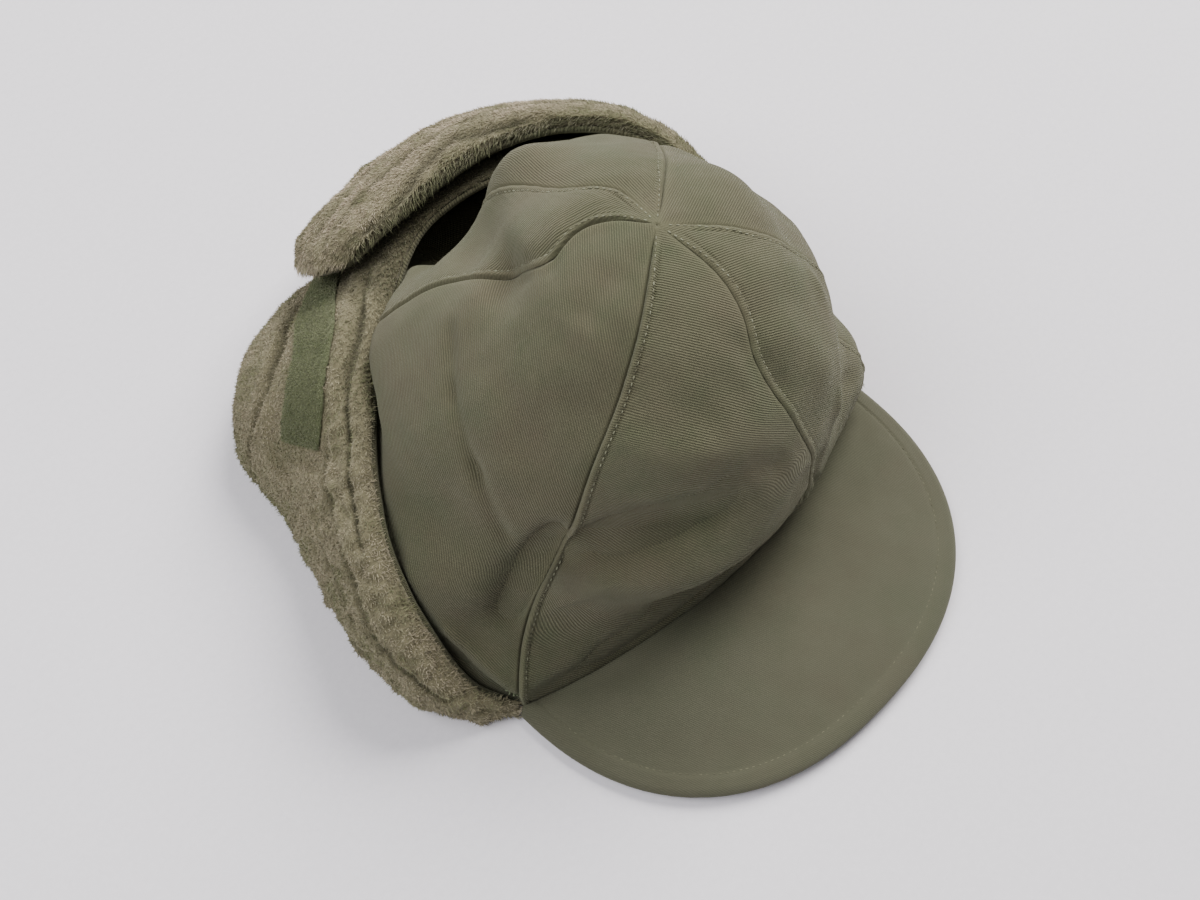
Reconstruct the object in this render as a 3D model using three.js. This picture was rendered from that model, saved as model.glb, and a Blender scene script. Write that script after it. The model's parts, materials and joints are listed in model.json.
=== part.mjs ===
// Earflap cap with a soft peak, lying on its hem with both flaps folded up.
// Millimetres, +Z up, the peak points along -Y and the wearer's left is +X.
// Shapes are worked out in the hem's own frame, with its centre on the ground.
import * as THREE from 'three';

// Driving dimensions
const hemHalfWidth = 92;
const hemHalfLength = 93;
const cornerAngle = 49.1;
const cornerReach = 17;
const cornerSpreadRight = 18;
const cornerSpreadLeft = 8;
const peakSeamRadius = 200;
const peakSeamFront = 89.5;
const crownWall = 2;
const hemBand = 0.13;
const seamGap = 0.5;
const panelPuff = 1.2;
const puffEase = { from: 0.05, full: 0.3, less: 0.8, none: 1 };
const peakThickness = 3.2;
const peakHalfWidth = 84.5;
const peakDepth = 80.7;
const peakExponent = 2.3;
const peakChordY = -72.4;
const peakSeamHeight = 9.5;
const peakCornerHeight = 2.2;
const peakEdgeRise = 1.6;
const peakSeamOffset = 0.9;
const peakArch = 5;
const peakArchPower = 1.2;
const peakEdgeBand = 0.06;
const restGap = 0.3;
const flapShell = 1.6;
const flapGap = 0.3;
const stripThickness = 1.2;
const stripRecess = 2.2;
const recessEase = { near: 4, far: 9, inner: 0.09, outer: 0.16 };
const pileRoundness = 5;
const pileEdgeShare = 0.02;
const pileEndShare = 0.35;
const pileEase = { beforeStart: 3, afterStart: 6, beforeStop: 5, afterStop: 3 };
const topEdgePower = 1.15;
const crownClearance = 3.2;
const roomAbove = 7;
const roomEase = 4;
const roomFade = 1.5;
const roomSlope = 1.6;
const softness = 2;
const normalStep = { angle: 1, along: 0.01, lowest: 0.012, highest: 0.985, levelBand: 0.12 };
const flapNormalStep = 0.02;
const roomSteps = 16;
const panelGrid = { columns: 8, rows: 20 };
const peakGrid = { columns: 26, rows: 7 };
const tapeGrid = { columns: 12, rows: 4 };
const flapRows = 9;
const hemCentre = new THREE.Vector3(3.6, 22.1, 0);

// Crown sections from the hem (along 0) to the crown's button point (along 1)
const crownSections = [
  { along: 0.00, height: 0, midX: 0, midY: 0, front: 93, back: 93, left: 92, right: 92, corner: 1 },
  { along: 0.08, height: 13, midX: 0, midY: 0, front: 93, back: 93, left: 91, right: 91, corner: 0.9 },
  { along: 0.16, height: 25, midX: 1, midY: -1, front: 96, back: 90, left: 93, right: 87, corner: 0.2 },
  { along: 0.27, height: 44, midX: 4, midY: -7, front: 88, back: 82, left: 85, right: 77, corner: 0 },
  { along: 0.40, height: 65, midX: 10, midY: -16, front: 77, back: 72, left: 69, right: 70, corner: 0 },
  { along: 0.53, height: 82, midX: 15, midY: -21, front: 64, back: 62, left: 60, right: 58, corner: 0 },
  { along: 0.66, height: 96, midX: 19, midY: -24, front: 49, back: 50, left: 45, right: 45, corner: 0 },
  { along: 0.79, height: 107, midX: 21, midY: -25, front: 34, back: 35, left: 34, right: 32, corner: 0 },
  { along: 0.89, height: 113, midX: 22, midY: -25, front: 20, back: 21, left: 20, right: 20, corner: 0 },
  { along: 1.00, height: 117, midX: 23, midY: -24, front: 1.5, back: 1.5, left: 1.5, right: 1.5, corner: 0 },
];

// Angles of the six seams, from the front and positive towards the wearer's left
const seamAngles = [
  { along: 0.00, backRight: -122, cornerRight: -49.1, front: 18, cornerLeft: 49.1, sideLeft: 112, back: 180 },
  { along: 0.27, backRight: -136, cornerRight: -51.5, front: 15, cornerLeft: 51, sideLeft: 118, back: 178 },
  { along: 0.53, backRight: -142, cornerRight: -56, front: 4.5, cornerLeft: 57, sideLeft: 126, back: 186 },
  { along: 0.70, backRight: -134, cornerRight: -56, front: -1.5, cornerLeft: 56, sideLeft: 128, back: 186 },
  { along: 0.81, backRight: -128, cornerRight: -55, front: 5, cornerLeft: 55, sideLeft: 128, back: 183 },
  { along: 0.90, backRight: -150, cornerRight: -55, front: 11, cornerLeft: 57, sideLeft: 128, back: 168 },
  { along: 1.00, backRight: -172, cornerRight: -56, front: 14, cornerLeft: 58, sideLeft: 128, back: 160 },
];

// Dents (positive depth) and swellings (negative depth) of the slumped crown
const crownDents = [
  { angle: 186, along: 0.40, spanAngle: 20, spanAlong: 0.12, depth: 22 },
  { angle: 170, along: 0.30, spanAngle: 20, spanAlong: 0.11, depth: 28 },
  { angle: 206, along: 0.60, spanAngle: 14, spanAlong: 0.07, depth: 7 },
  { angle: 196, along: 0.36, spanAngle: 9, spanAlong: 0.06, depth: -9 },
  { angle: 165, along: 0.60, spanAngle: 24, spanAlong: 0.13, depth: -8 },
  { angle: -134, along: 0.69, spanAngle: 15, spanAlong: 0.05, depth: 6 },
  { angle: -30, along: 0.45, spanAngle: 26, spanAlong: 0.055, depth: 5 },
  { angle: -26, along: 0.30, spanAngle: 24, spanAlong: 0.05, depth: -3.5 },
  { angle: -20, along: 0.165, spanAngle: 26, spanAlong: 0.045, depth: 6 },
  { angle: -58, along: 0.25, spanAngle: 5, spanAlong: 0.13, depth: 4 },
  { angle: 84, along: 0.33, spanAngle: 14, spanAlong: 0.07, depth: 2 },
  { angle: 92, along: 0.56, spanAngle: 24, spanAlong: 0.11, depth: 3.5 },
  { angle: 50, along: 0.16, spanAngle: 14, spanAlong: 0.09, depth: -8 },
];

// Fold stations of the flaps: where cloth and plush meet at the foot and at the free edge
const rightFlapStations = [
  { angle: 51, footReach: 2.3, footHeight: 1.2, topRadius: 108, topHeight: 8, belly: 0.5, pile: 4 },
  { angle: 58, footReach: 4, footHeight: 1.2, topRadius: 104, topHeight: 22, belly: 3, pile: 8.5 },
  { angle: 66, footReach: 5, footHeight: 1.2, topRadius: 95, topHeight: 36, belly: 5, pile: 10.5 },
  { angle: 77, footReach: 5, footHeight: 1.2, topRadius: 84, topHeight: 47, belly: 6, pile: 10.5 },
  { angle: 90, footReach: 3.5, footHeight: 1.2, topRadius: 72, topHeight: 51, belly: 4, pile: 9 },
  { angle: 108, footReach: 4.5, footHeight: 1.2, topRadius: 62, topHeight: 52, belly: 3.5, pile: 7.5 },
  { angle: 125, footReach: 8, footHeight: 1.2, topRadius: 57, topHeight: 52, belly: 6, pile: 11 },
  { angle: 140, footReach: 10, footHeight: 1.2, topRadius: 53, topHeight: 52, belly: 6, pile: 11.5 },
  { angle: 153, footReach: 6, footHeight: 1.2, topRadius: 54, topHeight: 52, belly: 4, pile: 10 },
  { angle: 166, footReach: 4, footHeight: 1.2, topRadius: 57, topHeight: 53, belly: 3, pile: 8 },
  { angle: 180, footReach: 2.3, footHeight: 1.2, topRadius: 61, topHeight: 54, belly: 4, pile: 6 },
  { angle: 205, footReach: 2.3, footHeight: 1.2, topRadius: 66, topHeight: 55, belly: 4, pile: 5.5 },
  { angle: 225, footReach: 2.3, footHeight: 1.2, topRadius: 74, topHeight: 54, belly: 4, pile: 5 },
  { angle: 240, footReach: 2.3, footHeight: 1.2, topRadius: 80, topHeight: 52, belly: 3, pile: 4.5 },
];
const leftFlapStations = [
  { angle: 51, footReach: 2.3, footHeight: 1.2, topRadius: 104, topHeight: 8, belly: 0, pile: 3 },
  { angle: 60, footReach: 2.3, footHeight: 1.2, topRadius: 89, topHeight: 17, belly: 0, pile: 3.5 },
  { angle: 72, footReach: 2.3, footHeight: 1.2, topRadius: 84, topHeight: 31, belly: 0, pile: 5 },
  { angle: 90, footReach: 2.3, footHeight: 1.2, topRadius: 80, topHeight: 46, belly: 2, pile: 7 },
  { angle: 105, footReach: 2.5, footHeight: 1.2, topRadius: 83, topHeight: 57, belly: 4, pile: 8 },
  { angle: 118, footReach: 7.5, footHeight: 2, topRadius: 82, topHeight: 62, belly: 5, pile: 8.5 },
  { angle: 132, footReach: 10, footHeight: 4, topRadius: 78, topHeight: 64, belly: 6, pile: 9 },
  { angle: 148, footReach: 10.5, footHeight: 7, topRadius: 72, topHeight: 65, belly: 8, pile: 9 },
  { angle: 165, footReach: 10.5, footHeight: 10, topRadius: 66, topHeight: 65, belly: 8, pile: 9 },
  { angle: 182, footReach: 9, footHeight: 14, topRadius: 65, topHeight: 65, belly: 6, pile: 8.5 },
  { angle: 193, footReach: 7, footHeight: 22, topRadius: 66, topHeight: 65, belly: 5, pile: 7 },
  { angle: 201, footReach: 5, footHeight: 30, topRadius: 71, topHeight: 60, belly: 4, pile: 5 },
];

// Fastening tapes: where each one's middle line and edges run on its flap, and how far its ends are cut aslant
const loopStripStations = [
  { angle: 114, middle: 0.57, half: 0.093, slant: -4 },
  { angle: 117, middle: 0.63, half: 0.10, slant: -3.5 },
  { angle: 122, middle: 0.705, half: 0.10, slant: -3 },
  { angle: 133, middle: 0.74, half: 0.105, slant: -2 },
  { angle: 149, middle: 0.64, half: 0.14, slant: -2 },
  { angle: 165, middle: 0.44, half: 0.16, slant: 0 },
];
const hookStripStations = [
  { angle: 178, middle: 0.5, half: 0.19, slant: 0 },
  { angle: 195, middle: 0.5, half: 0.19, slant: 0 },
];

// Finish of each cloth
const finishes = {
  twill: { color: 0x62604a, roughness: 0.95, metalness: 0 },
  peakTwill: { color: 0x62644a, roughness: 0.92, metalness: 0 },
  plush: { color: 0x787058, roughness: 1, metalness: 0 },
  tape: { color: 0x5a6941, roughness: 0.9, metalness: 0 },
};

const radians = THREE.MathUtils.degToRad;
const smooth = THREE.MathUtils.smoothstep;

// Value of one column of a table, on a smooth curve through its rows
function read(table, key, name, at) {
  const last = table.length - 1;
  let i = table.findIndex((row) => row[key] > at) - 1;
  if (i < 0) i = at <= table[0][key] ? 0 : last - 1;
  const slope = (k) => {
    const low = table[Math.max(k - 1, 0)];
    const high = table[Math.min(k + 1, last)];
    return (high[name] - low[name]) / (high[key] - low[key]);
  };
  const width = table[i + 1][key] - table[i][key];
  const t = THREE.MathUtils.clamp((at - table[i][key]) / width, 0, 1);
  const rise = t * t * (3 - 2 * t);
  const bend = width * (t * (1 - t) * (1 - t) * slope(i) - t * t * (1 - t) * slope(i + 1));
  return table[i][name] * (1 - rise) + table[i + 1][name] * rise + bend;
}

// Direction on the ground at an angle from the front
function heading(angle) {
  return new THREE.Vector3(Math.sin(radians(angle)), -Math.cos(radians(angle)), 0);
}

// Signed angle between -180 and 180
function wrap(angle) {
  return THREE.MathUtils.euclideanModulo(angle + 180, 360) - 180;
}

// Extra radius where the stiff peak spreads the hem to its two corners
function cornerRise(angle) {
  const turn = Math.abs(wrap(angle));
  const towards = Math.sin(radians(turn));
  const middle = peakSeamRadius - peakSeamFront;
  const spread = wrap(angle) < 0 ? cornerSpreadRight : cornerSpreadLeft;
  if (turn > cornerAngle) return cornerReach * Math.exp(-(((turn - cornerAngle) / spread) ** 2));
  const arc = Math.sqrt(peakSeamRadius ** 2 - (middle * towards) ** 2) - middle * Math.cos(radians(turn));
  return arc - ovalRadius(angle, hemHalfLength, hemHalfLength, hemHalfWidth, hemHalfWidth);
}

// Radius of an oval with its own size in each of the four directions
function ovalRadius(angle, front, back, left, right) {
  const across = Math.sin(radians(angle));
  const ahead = Math.cos(radians(angle));
  const side = across > 0 ? left : right;
  const end = ahead > 0 ? front : back;
  return 1 / Math.hypot(across / side, ahead / end);
}

function hemRadius(angle) {
  return ovalRadius(angle, hemHalfLength, hemHalfLength, hemHalfWidth, hemHalfWidth) + cornerRise(angle);
}

// Plain crown before its dents
function crownBase(angle, along) {
  const section = (name) => read(crownSections, 'along', name, along);
  const oval = ovalRadius(angle, section('front'), section('back'), section('left'), section('right'));
  const centre = new THREE.Vector3(section('midX'), section('midY'), section('height'));
  return centre.addScaledVector(heading(angle), oval + section('corner') * cornerRise(angle));
}

// Outward direction of a crown surface, level at the hem so that its edge stays flat
function surfaceNormal(surface, angle, along) {
  const low = THREE.MathUtils.clamp(along, normalStep.lowest, normalStep.highest);
  const around = surface(angle + normalStep.angle, low).sub(surface(angle - normalStep.angle, low));
  const upward = surface(angle, low + normalStep.along).sub(surface(angle, low - normalStep.along));
  const normal = around.cross(upward);
  normal.z *= smooth(along, 0, normalStep.levelBand);
  return normal.normalize();
}

function crownBaseNormal(angle, along) {
  return surfaceNormal(crownBase, angle, along);
}

function crownDent(angle, along) {
  let depth = 0;
  for (const dent of crownDents) {
    const turn = wrap(angle - dent.angle) / dent.spanAngle;
    const rise = (along - dent.along) / dent.spanAlong;
    depth += dent.depth * Math.exp(-turn * turn - rise * rise);
  }
  return depth * smooth(along, hemBand / 2, hemBand);
}

// Meeting surface of a flap's cloth and plush: across runs from the foot to the free edge
function flapMiddle(flap, turn, across) {
  const station = (name) => read(flap.stations, 'angle', name, turn);
  const foot = hemRadius(flap.side * turn) + station('footReach');
  const footHeight = station('footHeight');
  const top = station('topRadius');
  const topHeight = station('topHeight');
  const bulge = station('belly') * 4 * across * (1 - across);
  const lean = new THREE.Vector2(topHeight - footHeight, foot - top).normalize();
  const radius = foot + (top - foot) * across ** topEdgePower + bulge * lean.x;
  const height = footHeight + (topHeight - footHeight) * across + bulge * lean.y;
  return new THREE.Vector2(radius, height);
}

function flapOutward(flap, turn, across) {
  const low = THREE.MathUtils.clamp(across, flapNormalStep, 1 - flapNormalStep);
  const rise = flapMiddle(flap, turn, low + flapNormalStep).sub(flapMiddle(flap, turn, low - flapNormalStep));
  return new THREE.Vector2(rise.y, -rise.x).normalize();
}

// Point of a flap, whose end is cut askew
function flapPoint(flap, turn, across, offset) {
  const place = flapMiddle(flap, turn, across).addScaledVector(flapOutward(flap, turn, across), offset);
  const skew = flap.endSkew * (across - 0.5) * smooth(turn, flap.to - flap.skewReach, flap.to);
  return heading(flap.side * (turn + skew)).multiplyScalar(place.x).setZ(Math.max(place.y, restGap));
}

// Radius that a folded flap leaves free for the crown at a height
function roomInside(flap, turn, height) {
  const beyond = Math.max(flap.from - turn, turn - flap.to, 0);
  const nearest = THREE.MathUtils.clamp(turn, flap.from, flap.to);
  let below = null;
  let room = 0;
  for (let k = 0; k <= roomSteps; k += 1) {
    const outward = flapOutward(flap, nearest, k / roomSteps);
    const place = flapMiddle(flap, nearest, k / roomSteps)
      .addScaledVector(outward, -flapShell - crownClearance);
    room = place.x;
    if (place.y >= height) {
      const share = below ? (height - below.y) / (place.y - below.y) : 1;
      return place.x + (below ? below.x - place.x : 0) * (1 - share) + beyond * roomFade;
    }
    below = place;
  }
  const over = Math.max(height - below.y - roomAbove, 0);
  return room + (roomSlope * over * over) / (over + roomEase) + beyond * roomFade;
}

const rightFlap = {
  side: -1, stations: rightFlapStations, from: 51, to: 240, endSkew: 0, skewReach: 25, steps: 36,
};
const leftFlap = {
  side: 1, stations: leftFlapStations, from: 51, to: 201, endSkew: 7, skewReach: 25, steps: 30,
};

// Crown as it lies: dented, and pressed in where a flap leans on it
function crownPoint(angle, along, puff = 0) {
  const point = crownBase(angle, along)
    .addScaledVector(crownBaseNormal(angle, along), puff - crownDent(angle, along));
  const turn = THREE.MathUtils.radToDeg(Math.atan2(point.x, -point.y));
  const radius = Math.hypot(point.x, point.y);
  let room = Infinity;
  for (const flap of [rightFlap, leftFlap]) {
    const flapTurn = THREE.MathUtils.euclideanModulo(flap.side * turn, 360);
    room = Math.min(room, roomInside(flap, flapTurn, point.z));
  }
  const pressed = -softness * Math.log(Math.exp(-radius / softness) + Math.exp(-room / softness));
  point.x *= pressed / radius;
  point.y *= pressed / radius;
  return point;
}

// Closed cloth body between an outer and an inner face, both given over a unit square
function clothBody(columns, rows, outer, inner) {
  const points = [];
  const faces = [];
  const stride = rows + 1;
  const layer = (columns + 1) * stride;
  for (const face of [outer, inner]) {
    for (let i = 0; i <= columns; i += 1) {
      for (let j = 0; j <= rows; j += 1) {
        points.push(...face(i / columns, j / rows).toArray());
      }
    }
  }
  const quad = (a, b, c, d) => faces.push(a, b, c, a, c, d);
  const at = (i, j) => i * stride + j;
  for (let i = 0; i < columns; i += 1) {
    for (let j = 0; j < rows; j += 1) {
      quad(at(i, j), at(i + 1, j), at(i + 1, j + 1), at(i, j + 1));
      quad(layer + at(i, j), layer + at(i, j + 1), layer + at(i + 1, j + 1), layer + at(i + 1, j));
    }
    quad(layer + at(i, 0), layer + at(i + 1, 0), at(i + 1, 0), at(i, 0));
    quad(at(i, rows), at(i + 1, rows), layer + at(i + 1, rows), layer + at(i, rows));
  }
  for (let j = 0; j < rows; j += 1) {
    quad(at(0, j), at(0, j + 1), layer + at(0, j + 1), layer + at(0, j));
    quad(layer + at(columns, j), layer + at(columns, j + 1), at(columns, j + 1), at(columns, j));
  }
  const geometry = new THREE.BufferGeometry();
  geometry.setAttribute('position', new THREE.Float32BufferAttribute(points, 3));
  geometry.setIndex(faces);
  geometry.computeVertexNormals();
  return geometry;
}

function piece(name, geometry, finish) {
  const mesh = new THREE.Mesh(geometry, new THREE.MeshStandardMaterial(finishes[finish]));
  mesh.name = name;
  return mesh;
}

// One crown panel between two seams
function crownPanel(name, firstSeam, nextSeam) {
  const face = (u, along, inset) => {
    const start = read(seamAngles, 'along', firstSeam, along);
    let end = read(seamAngles, 'along', nextSeam, along);
    if (end < start) end += 360;
    const width = crownPoint(start, along).distanceTo(crownPoint(end, along)) + 0.01;
    const margin = Math.min(seamGap / 2 / width, 0.2);
    const share = margin + (1 - 2 * margin) * u;
    const angle = start + (end - start) * share;
    const risen = smooth(along, puffEase.from, puffEase.full) * (1 - smooth(along, puffEase.less, puffEase.none));
    const puff = panelPuff * Math.sin(Math.PI * u) * risen;
    return crownPoint(angle, along, puff).addScaledVector(surfaceNormal(crownPoint, angle, along), -inset);
  };
  const outer = (u, v) => face(u, v, 0);
  const inner = (u, v) => face(u, v, crownWall);
  return piece(name, clothBody(panelGrid.columns, panelGrid.rows, outer, inner), 'twill');
}

// Peak: from the seam on the crown to its curved outer edge
function peakPoint(u, v, depth) {
  const turn = cornerAngle * (2 * u - 1);
  const seam = heading(turn).multiplyScalar(hemRadius(turn) + peakSeamOffset);
  const middle = 1 - (turn / cornerAngle) ** 2;
  seam.z = peakCornerHeight + (peakSeamHeight - peakCornerHeight) * middle;
  const sweep = Math.PI * (1 - u);
  const power = 2 / peakExponent;
  const edge = new THREE.Vector3(
    Math.sign(Math.cos(sweep)) * Math.abs(Math.cos(sweep)) ** power * peakHalfWidth,
    peakChordY - Math.sin(sweep) ** power * peakDepth,
    restGap + peakEdgeRise * middle,
  );
  const point = seam.lerp(edge, v);
  point.z += peakArch * middle * Math.sin(Math.PI * v) ** peakArchPower * (1 - v / 2);
  point.z += peakThickness * (1 - depth) * (1 - smooth(v, 1 - peakEdgeBand, 1) / 2);
  return point;
}

function peak() {
  const face = (depth) => (u, v) => peakPoint(u, 1 - v, depth);
  return piece('peak', clothBody(peakGrid.columns, peakGrid.rows, face(0), face(1)), 'peakTwill');
}

// Full cover of 1 over a tape, fading to 0 around it
function tapeCover(stations, turn, across) {
  const from = stations[0].angle;
  const to = stations[stations.length - 1].angle;
  const { near, far, inner, outer } = recessEase;
  const section = (name, at) => read(stations, 'angle', name, at);
  const lane = THREE.MathUtils.clamp((across - section('middle', turn)) / section('half', turn), -1, 1);
  const square = turn - section('slant', turn) * lane;
  const along = smooth(square, from - far, from - near) * (1 - smooth(square, to + near, to + far));
  const away = Math.abs(across - section('middle', square)) - section('half', square);
  return along * (1 - smooth(away, inner, outer));
}

// Plush thickness: round at the foot and the free edge, pressed flat under the loop tape
function pileThickness(flap, turn, across) {
  const full = read(flap.stations, 'angle', 'pile', turn);
  const round = Math.sqrt(Math.max(1 - Math.abs(2 * across - 1) ** pileRoundness, pileEdgeShare));
  const start = smooth(turn, flap.from - pileEase.beforeStart, flap.from + pileEase.afterStart);
  const end = 1 - smooth(turn, flap.to - pileEase.beforeStop, flap.to + pileEase.afterStop);
  const thickness = full * round * (pileEndShare + (1 - pileEndShare) * Math.min(start, end));
  return thickness - (flap === rightFlap ? stripRecess * tapeCover(loopStripStations, turn, across) : 0);
}

function flapBody(name, flap, outerOffset, innerOffset, finish) {
  const turnAt = (u) => flap.from + (flap.to - flap.from) * (flap.side < 0 ? 1 - u : u);
  const face = (offset) => (u, v) => flapPoint(flap, turnAt(u), v, offset(turnAt(u), v));
  return piece(name, clothBody(flap.steps, flapRows, face(outerOffset), face(innerOffset)), finish);
}

// Twill outside and plush inside of one flap
function flapPair(side, flap) {
  const twillOut = () => -flapGap / 2;
  const twillIn = () => -flapGap / 2 - flapShell;
  const plushOut = (turn, across) => pileThickness(flap, turn, across);
  const plushIn = () => flapGap / 2;
  return [
    flapBody(`earflap_${side}_shell`, flap, twillOut, twillIn, 'twill'),
    flapBody(`earflap_${side}_pile`, flap, plushOut, plushIn, 'plush'),
  ];
}

function tape(name, flap, stations, offset) {
  const from = stations[0].angle;
  const to = stations[stations.length - 1].angle;
  const turnAt = (u) => from + (to - from) * (flap.side < 0 ? 1 - u : u);
  const face = (extra) => (u, v) => {
    const section = (name) => read(stations, 'angle', name, turnAt(u));
    const lane = 2 * v - 1;
    const turn = turnAt(u) + section('slant') * lane;
    const across = section('middle') + section('half') * lane;
    return flapPoint(flap, turn, across, offset(turn, across) + extra);
  };
  return piece(name, clothBody(tapeGrid.columns, tapeGrid.rows, face(stripThickness), face(0)), 'tape');
}

const onPlush = (turn, across) => pileThickness(rightFlap, turn, across) + 1.5 * flapGap;
const underTwill = () => -1.5 * flapGap - flapShell - stripThickness;

const cap = new THREE.Group();
cap.add(
  crownPanel('crown_side_right', 'backRight', 'cornerRight'),
  crownPanel('crown_front_right', 'cornerRight', 'front'),
  crownPanel('crown_front_left', 'front', 'cornerLeft'),
  crownPanel('crown_side_left', 'cornerLeft', 'sideLeft'),
  crownPanel('crown_back_left', 'sideLeft', 'back'),
  crownPanel('crown_back_right', 'back', 'backRight'),
  peak(),
  ...flapPair('right', rightFlap),
  ...flapPair('left', leftFlap),
  tape('loop_strip', rightFlap, loopStripStations, onPlush),
  tape('hook_strip', leftFlap, hookStripStations, underTwill),
);
cap.position.copy(hemCentre);

export default cap;
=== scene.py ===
# %% [markdown]
# # An earflap cap lying on its hem
# The cap is six twill panels sewn together at a point, a soft peak, and two ear flaps that are folded up
# round the crown with their plush outside. The frame holds these pieces at their real size, as plain
# solids. This file makes the cloth that shows: seams that sink and puff, rows of stitches, creases, and a
# pile that can be brushed.

# %% Load the frame
import json
import math
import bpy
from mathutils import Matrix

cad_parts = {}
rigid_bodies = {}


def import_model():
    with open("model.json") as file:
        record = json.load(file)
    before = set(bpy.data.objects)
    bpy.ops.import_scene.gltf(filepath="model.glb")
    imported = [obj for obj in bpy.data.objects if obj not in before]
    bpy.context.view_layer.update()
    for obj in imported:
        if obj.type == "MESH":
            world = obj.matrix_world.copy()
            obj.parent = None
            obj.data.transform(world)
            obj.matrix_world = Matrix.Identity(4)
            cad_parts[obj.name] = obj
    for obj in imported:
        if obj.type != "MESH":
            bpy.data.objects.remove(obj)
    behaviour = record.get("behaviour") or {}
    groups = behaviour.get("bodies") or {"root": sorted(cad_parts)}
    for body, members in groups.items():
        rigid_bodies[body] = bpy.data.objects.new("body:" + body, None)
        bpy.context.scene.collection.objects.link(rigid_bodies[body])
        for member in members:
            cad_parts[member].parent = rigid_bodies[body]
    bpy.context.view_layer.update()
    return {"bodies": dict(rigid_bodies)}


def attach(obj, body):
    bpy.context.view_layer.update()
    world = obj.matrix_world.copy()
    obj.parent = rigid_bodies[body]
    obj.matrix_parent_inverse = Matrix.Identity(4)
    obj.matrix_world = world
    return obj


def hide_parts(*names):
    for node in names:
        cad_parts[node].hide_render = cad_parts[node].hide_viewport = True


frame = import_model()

from types import SimpleNamespace

import bpy
import numpy as np
from mathutils import Matrix, Vector

# %% [markdown]
# ## Reading a shape from a short table
# A sewn shape changes slowly, so a few measured rows with a smooth curve through them describe it better
# than thousands of points do. Every table has named columns, and its first column says where the row is.
# All shape work is in millimetres from the hem's centre on the ground, with the peak towards -Y and the
# wearer's left at +X.

# %% Tables and curves
MM = 0.001
hem_centre = np.array([3.6, 22.1, 0.0])


def table(names, rows):
    return dict(zip(names.split(), np.array(rows, float).T))


def read(rows, name, at):
    """Value of a column on a smooth curve through the rows."""
    places = next(iter(rows.values()))
    values = rows[name]
    last = len(places) - 1
    step = np.arange(last + 1)
    low, high = np.maximum(step - 1, 0), np.minimum(step + 1, last)
    slope = (values[high] - values[low]) / (places[high] - places[low])
    i = np.clip(np.searchsorted(places, at, side="right") - 1, 0, last - 1)
    width = places[i + 1] - places[i]
    t = np.clip((at - places[i]) / width, 0, 1)
    rise = t * t * (3 - 2 * t)
    bend = width * (t * (1 - t) ** 2 * slope[i] - t * t * (1 - t) * slope[i + 1])
    return values[i] * (1 - rise) + values[i + 1] * rise + bend


def smooth(value, low, high):
    t = np.clip((value - low) / (high - low), 0, 1)
    return t * t * (3 - 2 * t)


def wrap(angle):
    return (angle + 180) % 360 - 180


def unit(vectors):
    return vectors / np.maximum(np.linalg.norm(vectors, axis=-1, keepdims=True), 1e-9)


def heading(angle):
    """Direction on the ground at an angle from the front, positive towards the wearer's left."""
    turn = np.radians(angle)
    return np.stack([np.sin(turn), -np.cos(turn), np.zeros_like(turn)], -1)


def ripple(points, size, seed, waves=14):
    """A soft irregular pattern between about -1 and 1, whose bumps are about size millimetres long."""
    chance = np.random.default_rng(seed)
    total = np.zeros(points.shape[:-1])
    for _ in range(waves):
        direction = unit(chance.normal(size=3))
        length = size * chance.uniform(1.2, 3.0)
        total += np.sin(points @ direction * (2 * np.pi / length) + chance.uniform(0, 2 * np.pi))
    return total * math.sqrt(2 / waves) / 1.6


# %% Sizes of the crown
crown_sections = table("along height midX midY front back left right corner", [
    (0.00, 0, 0, 0, 93, 93, 92, 92, 1.0),
    (0.08, 13, 0, 0, 93, 93, 91, 91, 0.9),
    (0.16, 25, 1, -1, 96, 90, 93, 87, 0.2),
    (0.27, 44, 4, -7, 88, 82, 85, 77, 0),
    (0.40, 65, 10, -16, 77, 72, 69, 70, 0),
    (0.53, 82, 15, -21, 64, 62, 60, 58, 0),
    (0.66, 96, 19, -24, 49, 50, 45, 45, 0),
    (0.79, 107, 21, -25, 34, 35, 34, 32, 0),
    (0.89, 113, 22, -25, 20, 21, 20, 20, 0),
    (1.00, 117, 23, -24, 0.3, 0.3, 0.3, 0.3, 0),
])
seam_angles = table("along backRight cornerRight front cornerLeft sideLeft back", [
    (0.00, -122, -49.1, 18, 49.1, 112, 180),
    (0.27, -136, -51.5, 15, 51, 118, 178),
    (0.53, -142, -56, 4.5, 57, 126, 186),
    (0.70, -134, -56, -1.5, 56, 128, 186),
    (0.81, -128, -55, 5, 55, 128, 183),
    (0.90, -150, -55, 11, 57, 128, 168),
    (1.00, -172, -56, 14, 58, 128, 160),
])
crown_dents = table("angle along spanAngle spanAlong depth", [
    (186, 0.40, 20, 0.12, 22),
    (170, 0.30, 20, 0.11, 28),
    (206, 0.60, 14, 0.07, 7),
    (196, 0.36, 9, 0.06, -9),
    (176, 0.585, 13, 0.10, -8),
    (148, 0.57, 20, 0.10, -2.2),
    (-72, 0.20, 15, 0.10, -9),
    (-134, 0.69, 15, 0.05, 6),
    (-30, 0.41, 18, 0.05, 8),
    (-48, 0.345, 9, 0.05, 4),
    (-34, 0.58, 20, 0.06, -3),
    (-28, 0.29, 22, 0.05, -4),
    (-12, 0.18, 24, 0.06, 8),
    (-64, 0.12, 9, 0.06, -5),
    (-58, 0.25, 5, 0.13, 4),
    (84, 0.33, 14, 0.07, 2),
    (92, 0.56, 24, 0.11, 3.5),
    (50, 0.16, 14, 0.09, -8),
])
hem_half_width, hem_half_length = 92, 93
corner_angle, corner_reach, corner_spread_right, corner_spread_left = 49.1, 17, 18, 8
peak_seam_radius, peak_seam_front = 200, 89.5
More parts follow.
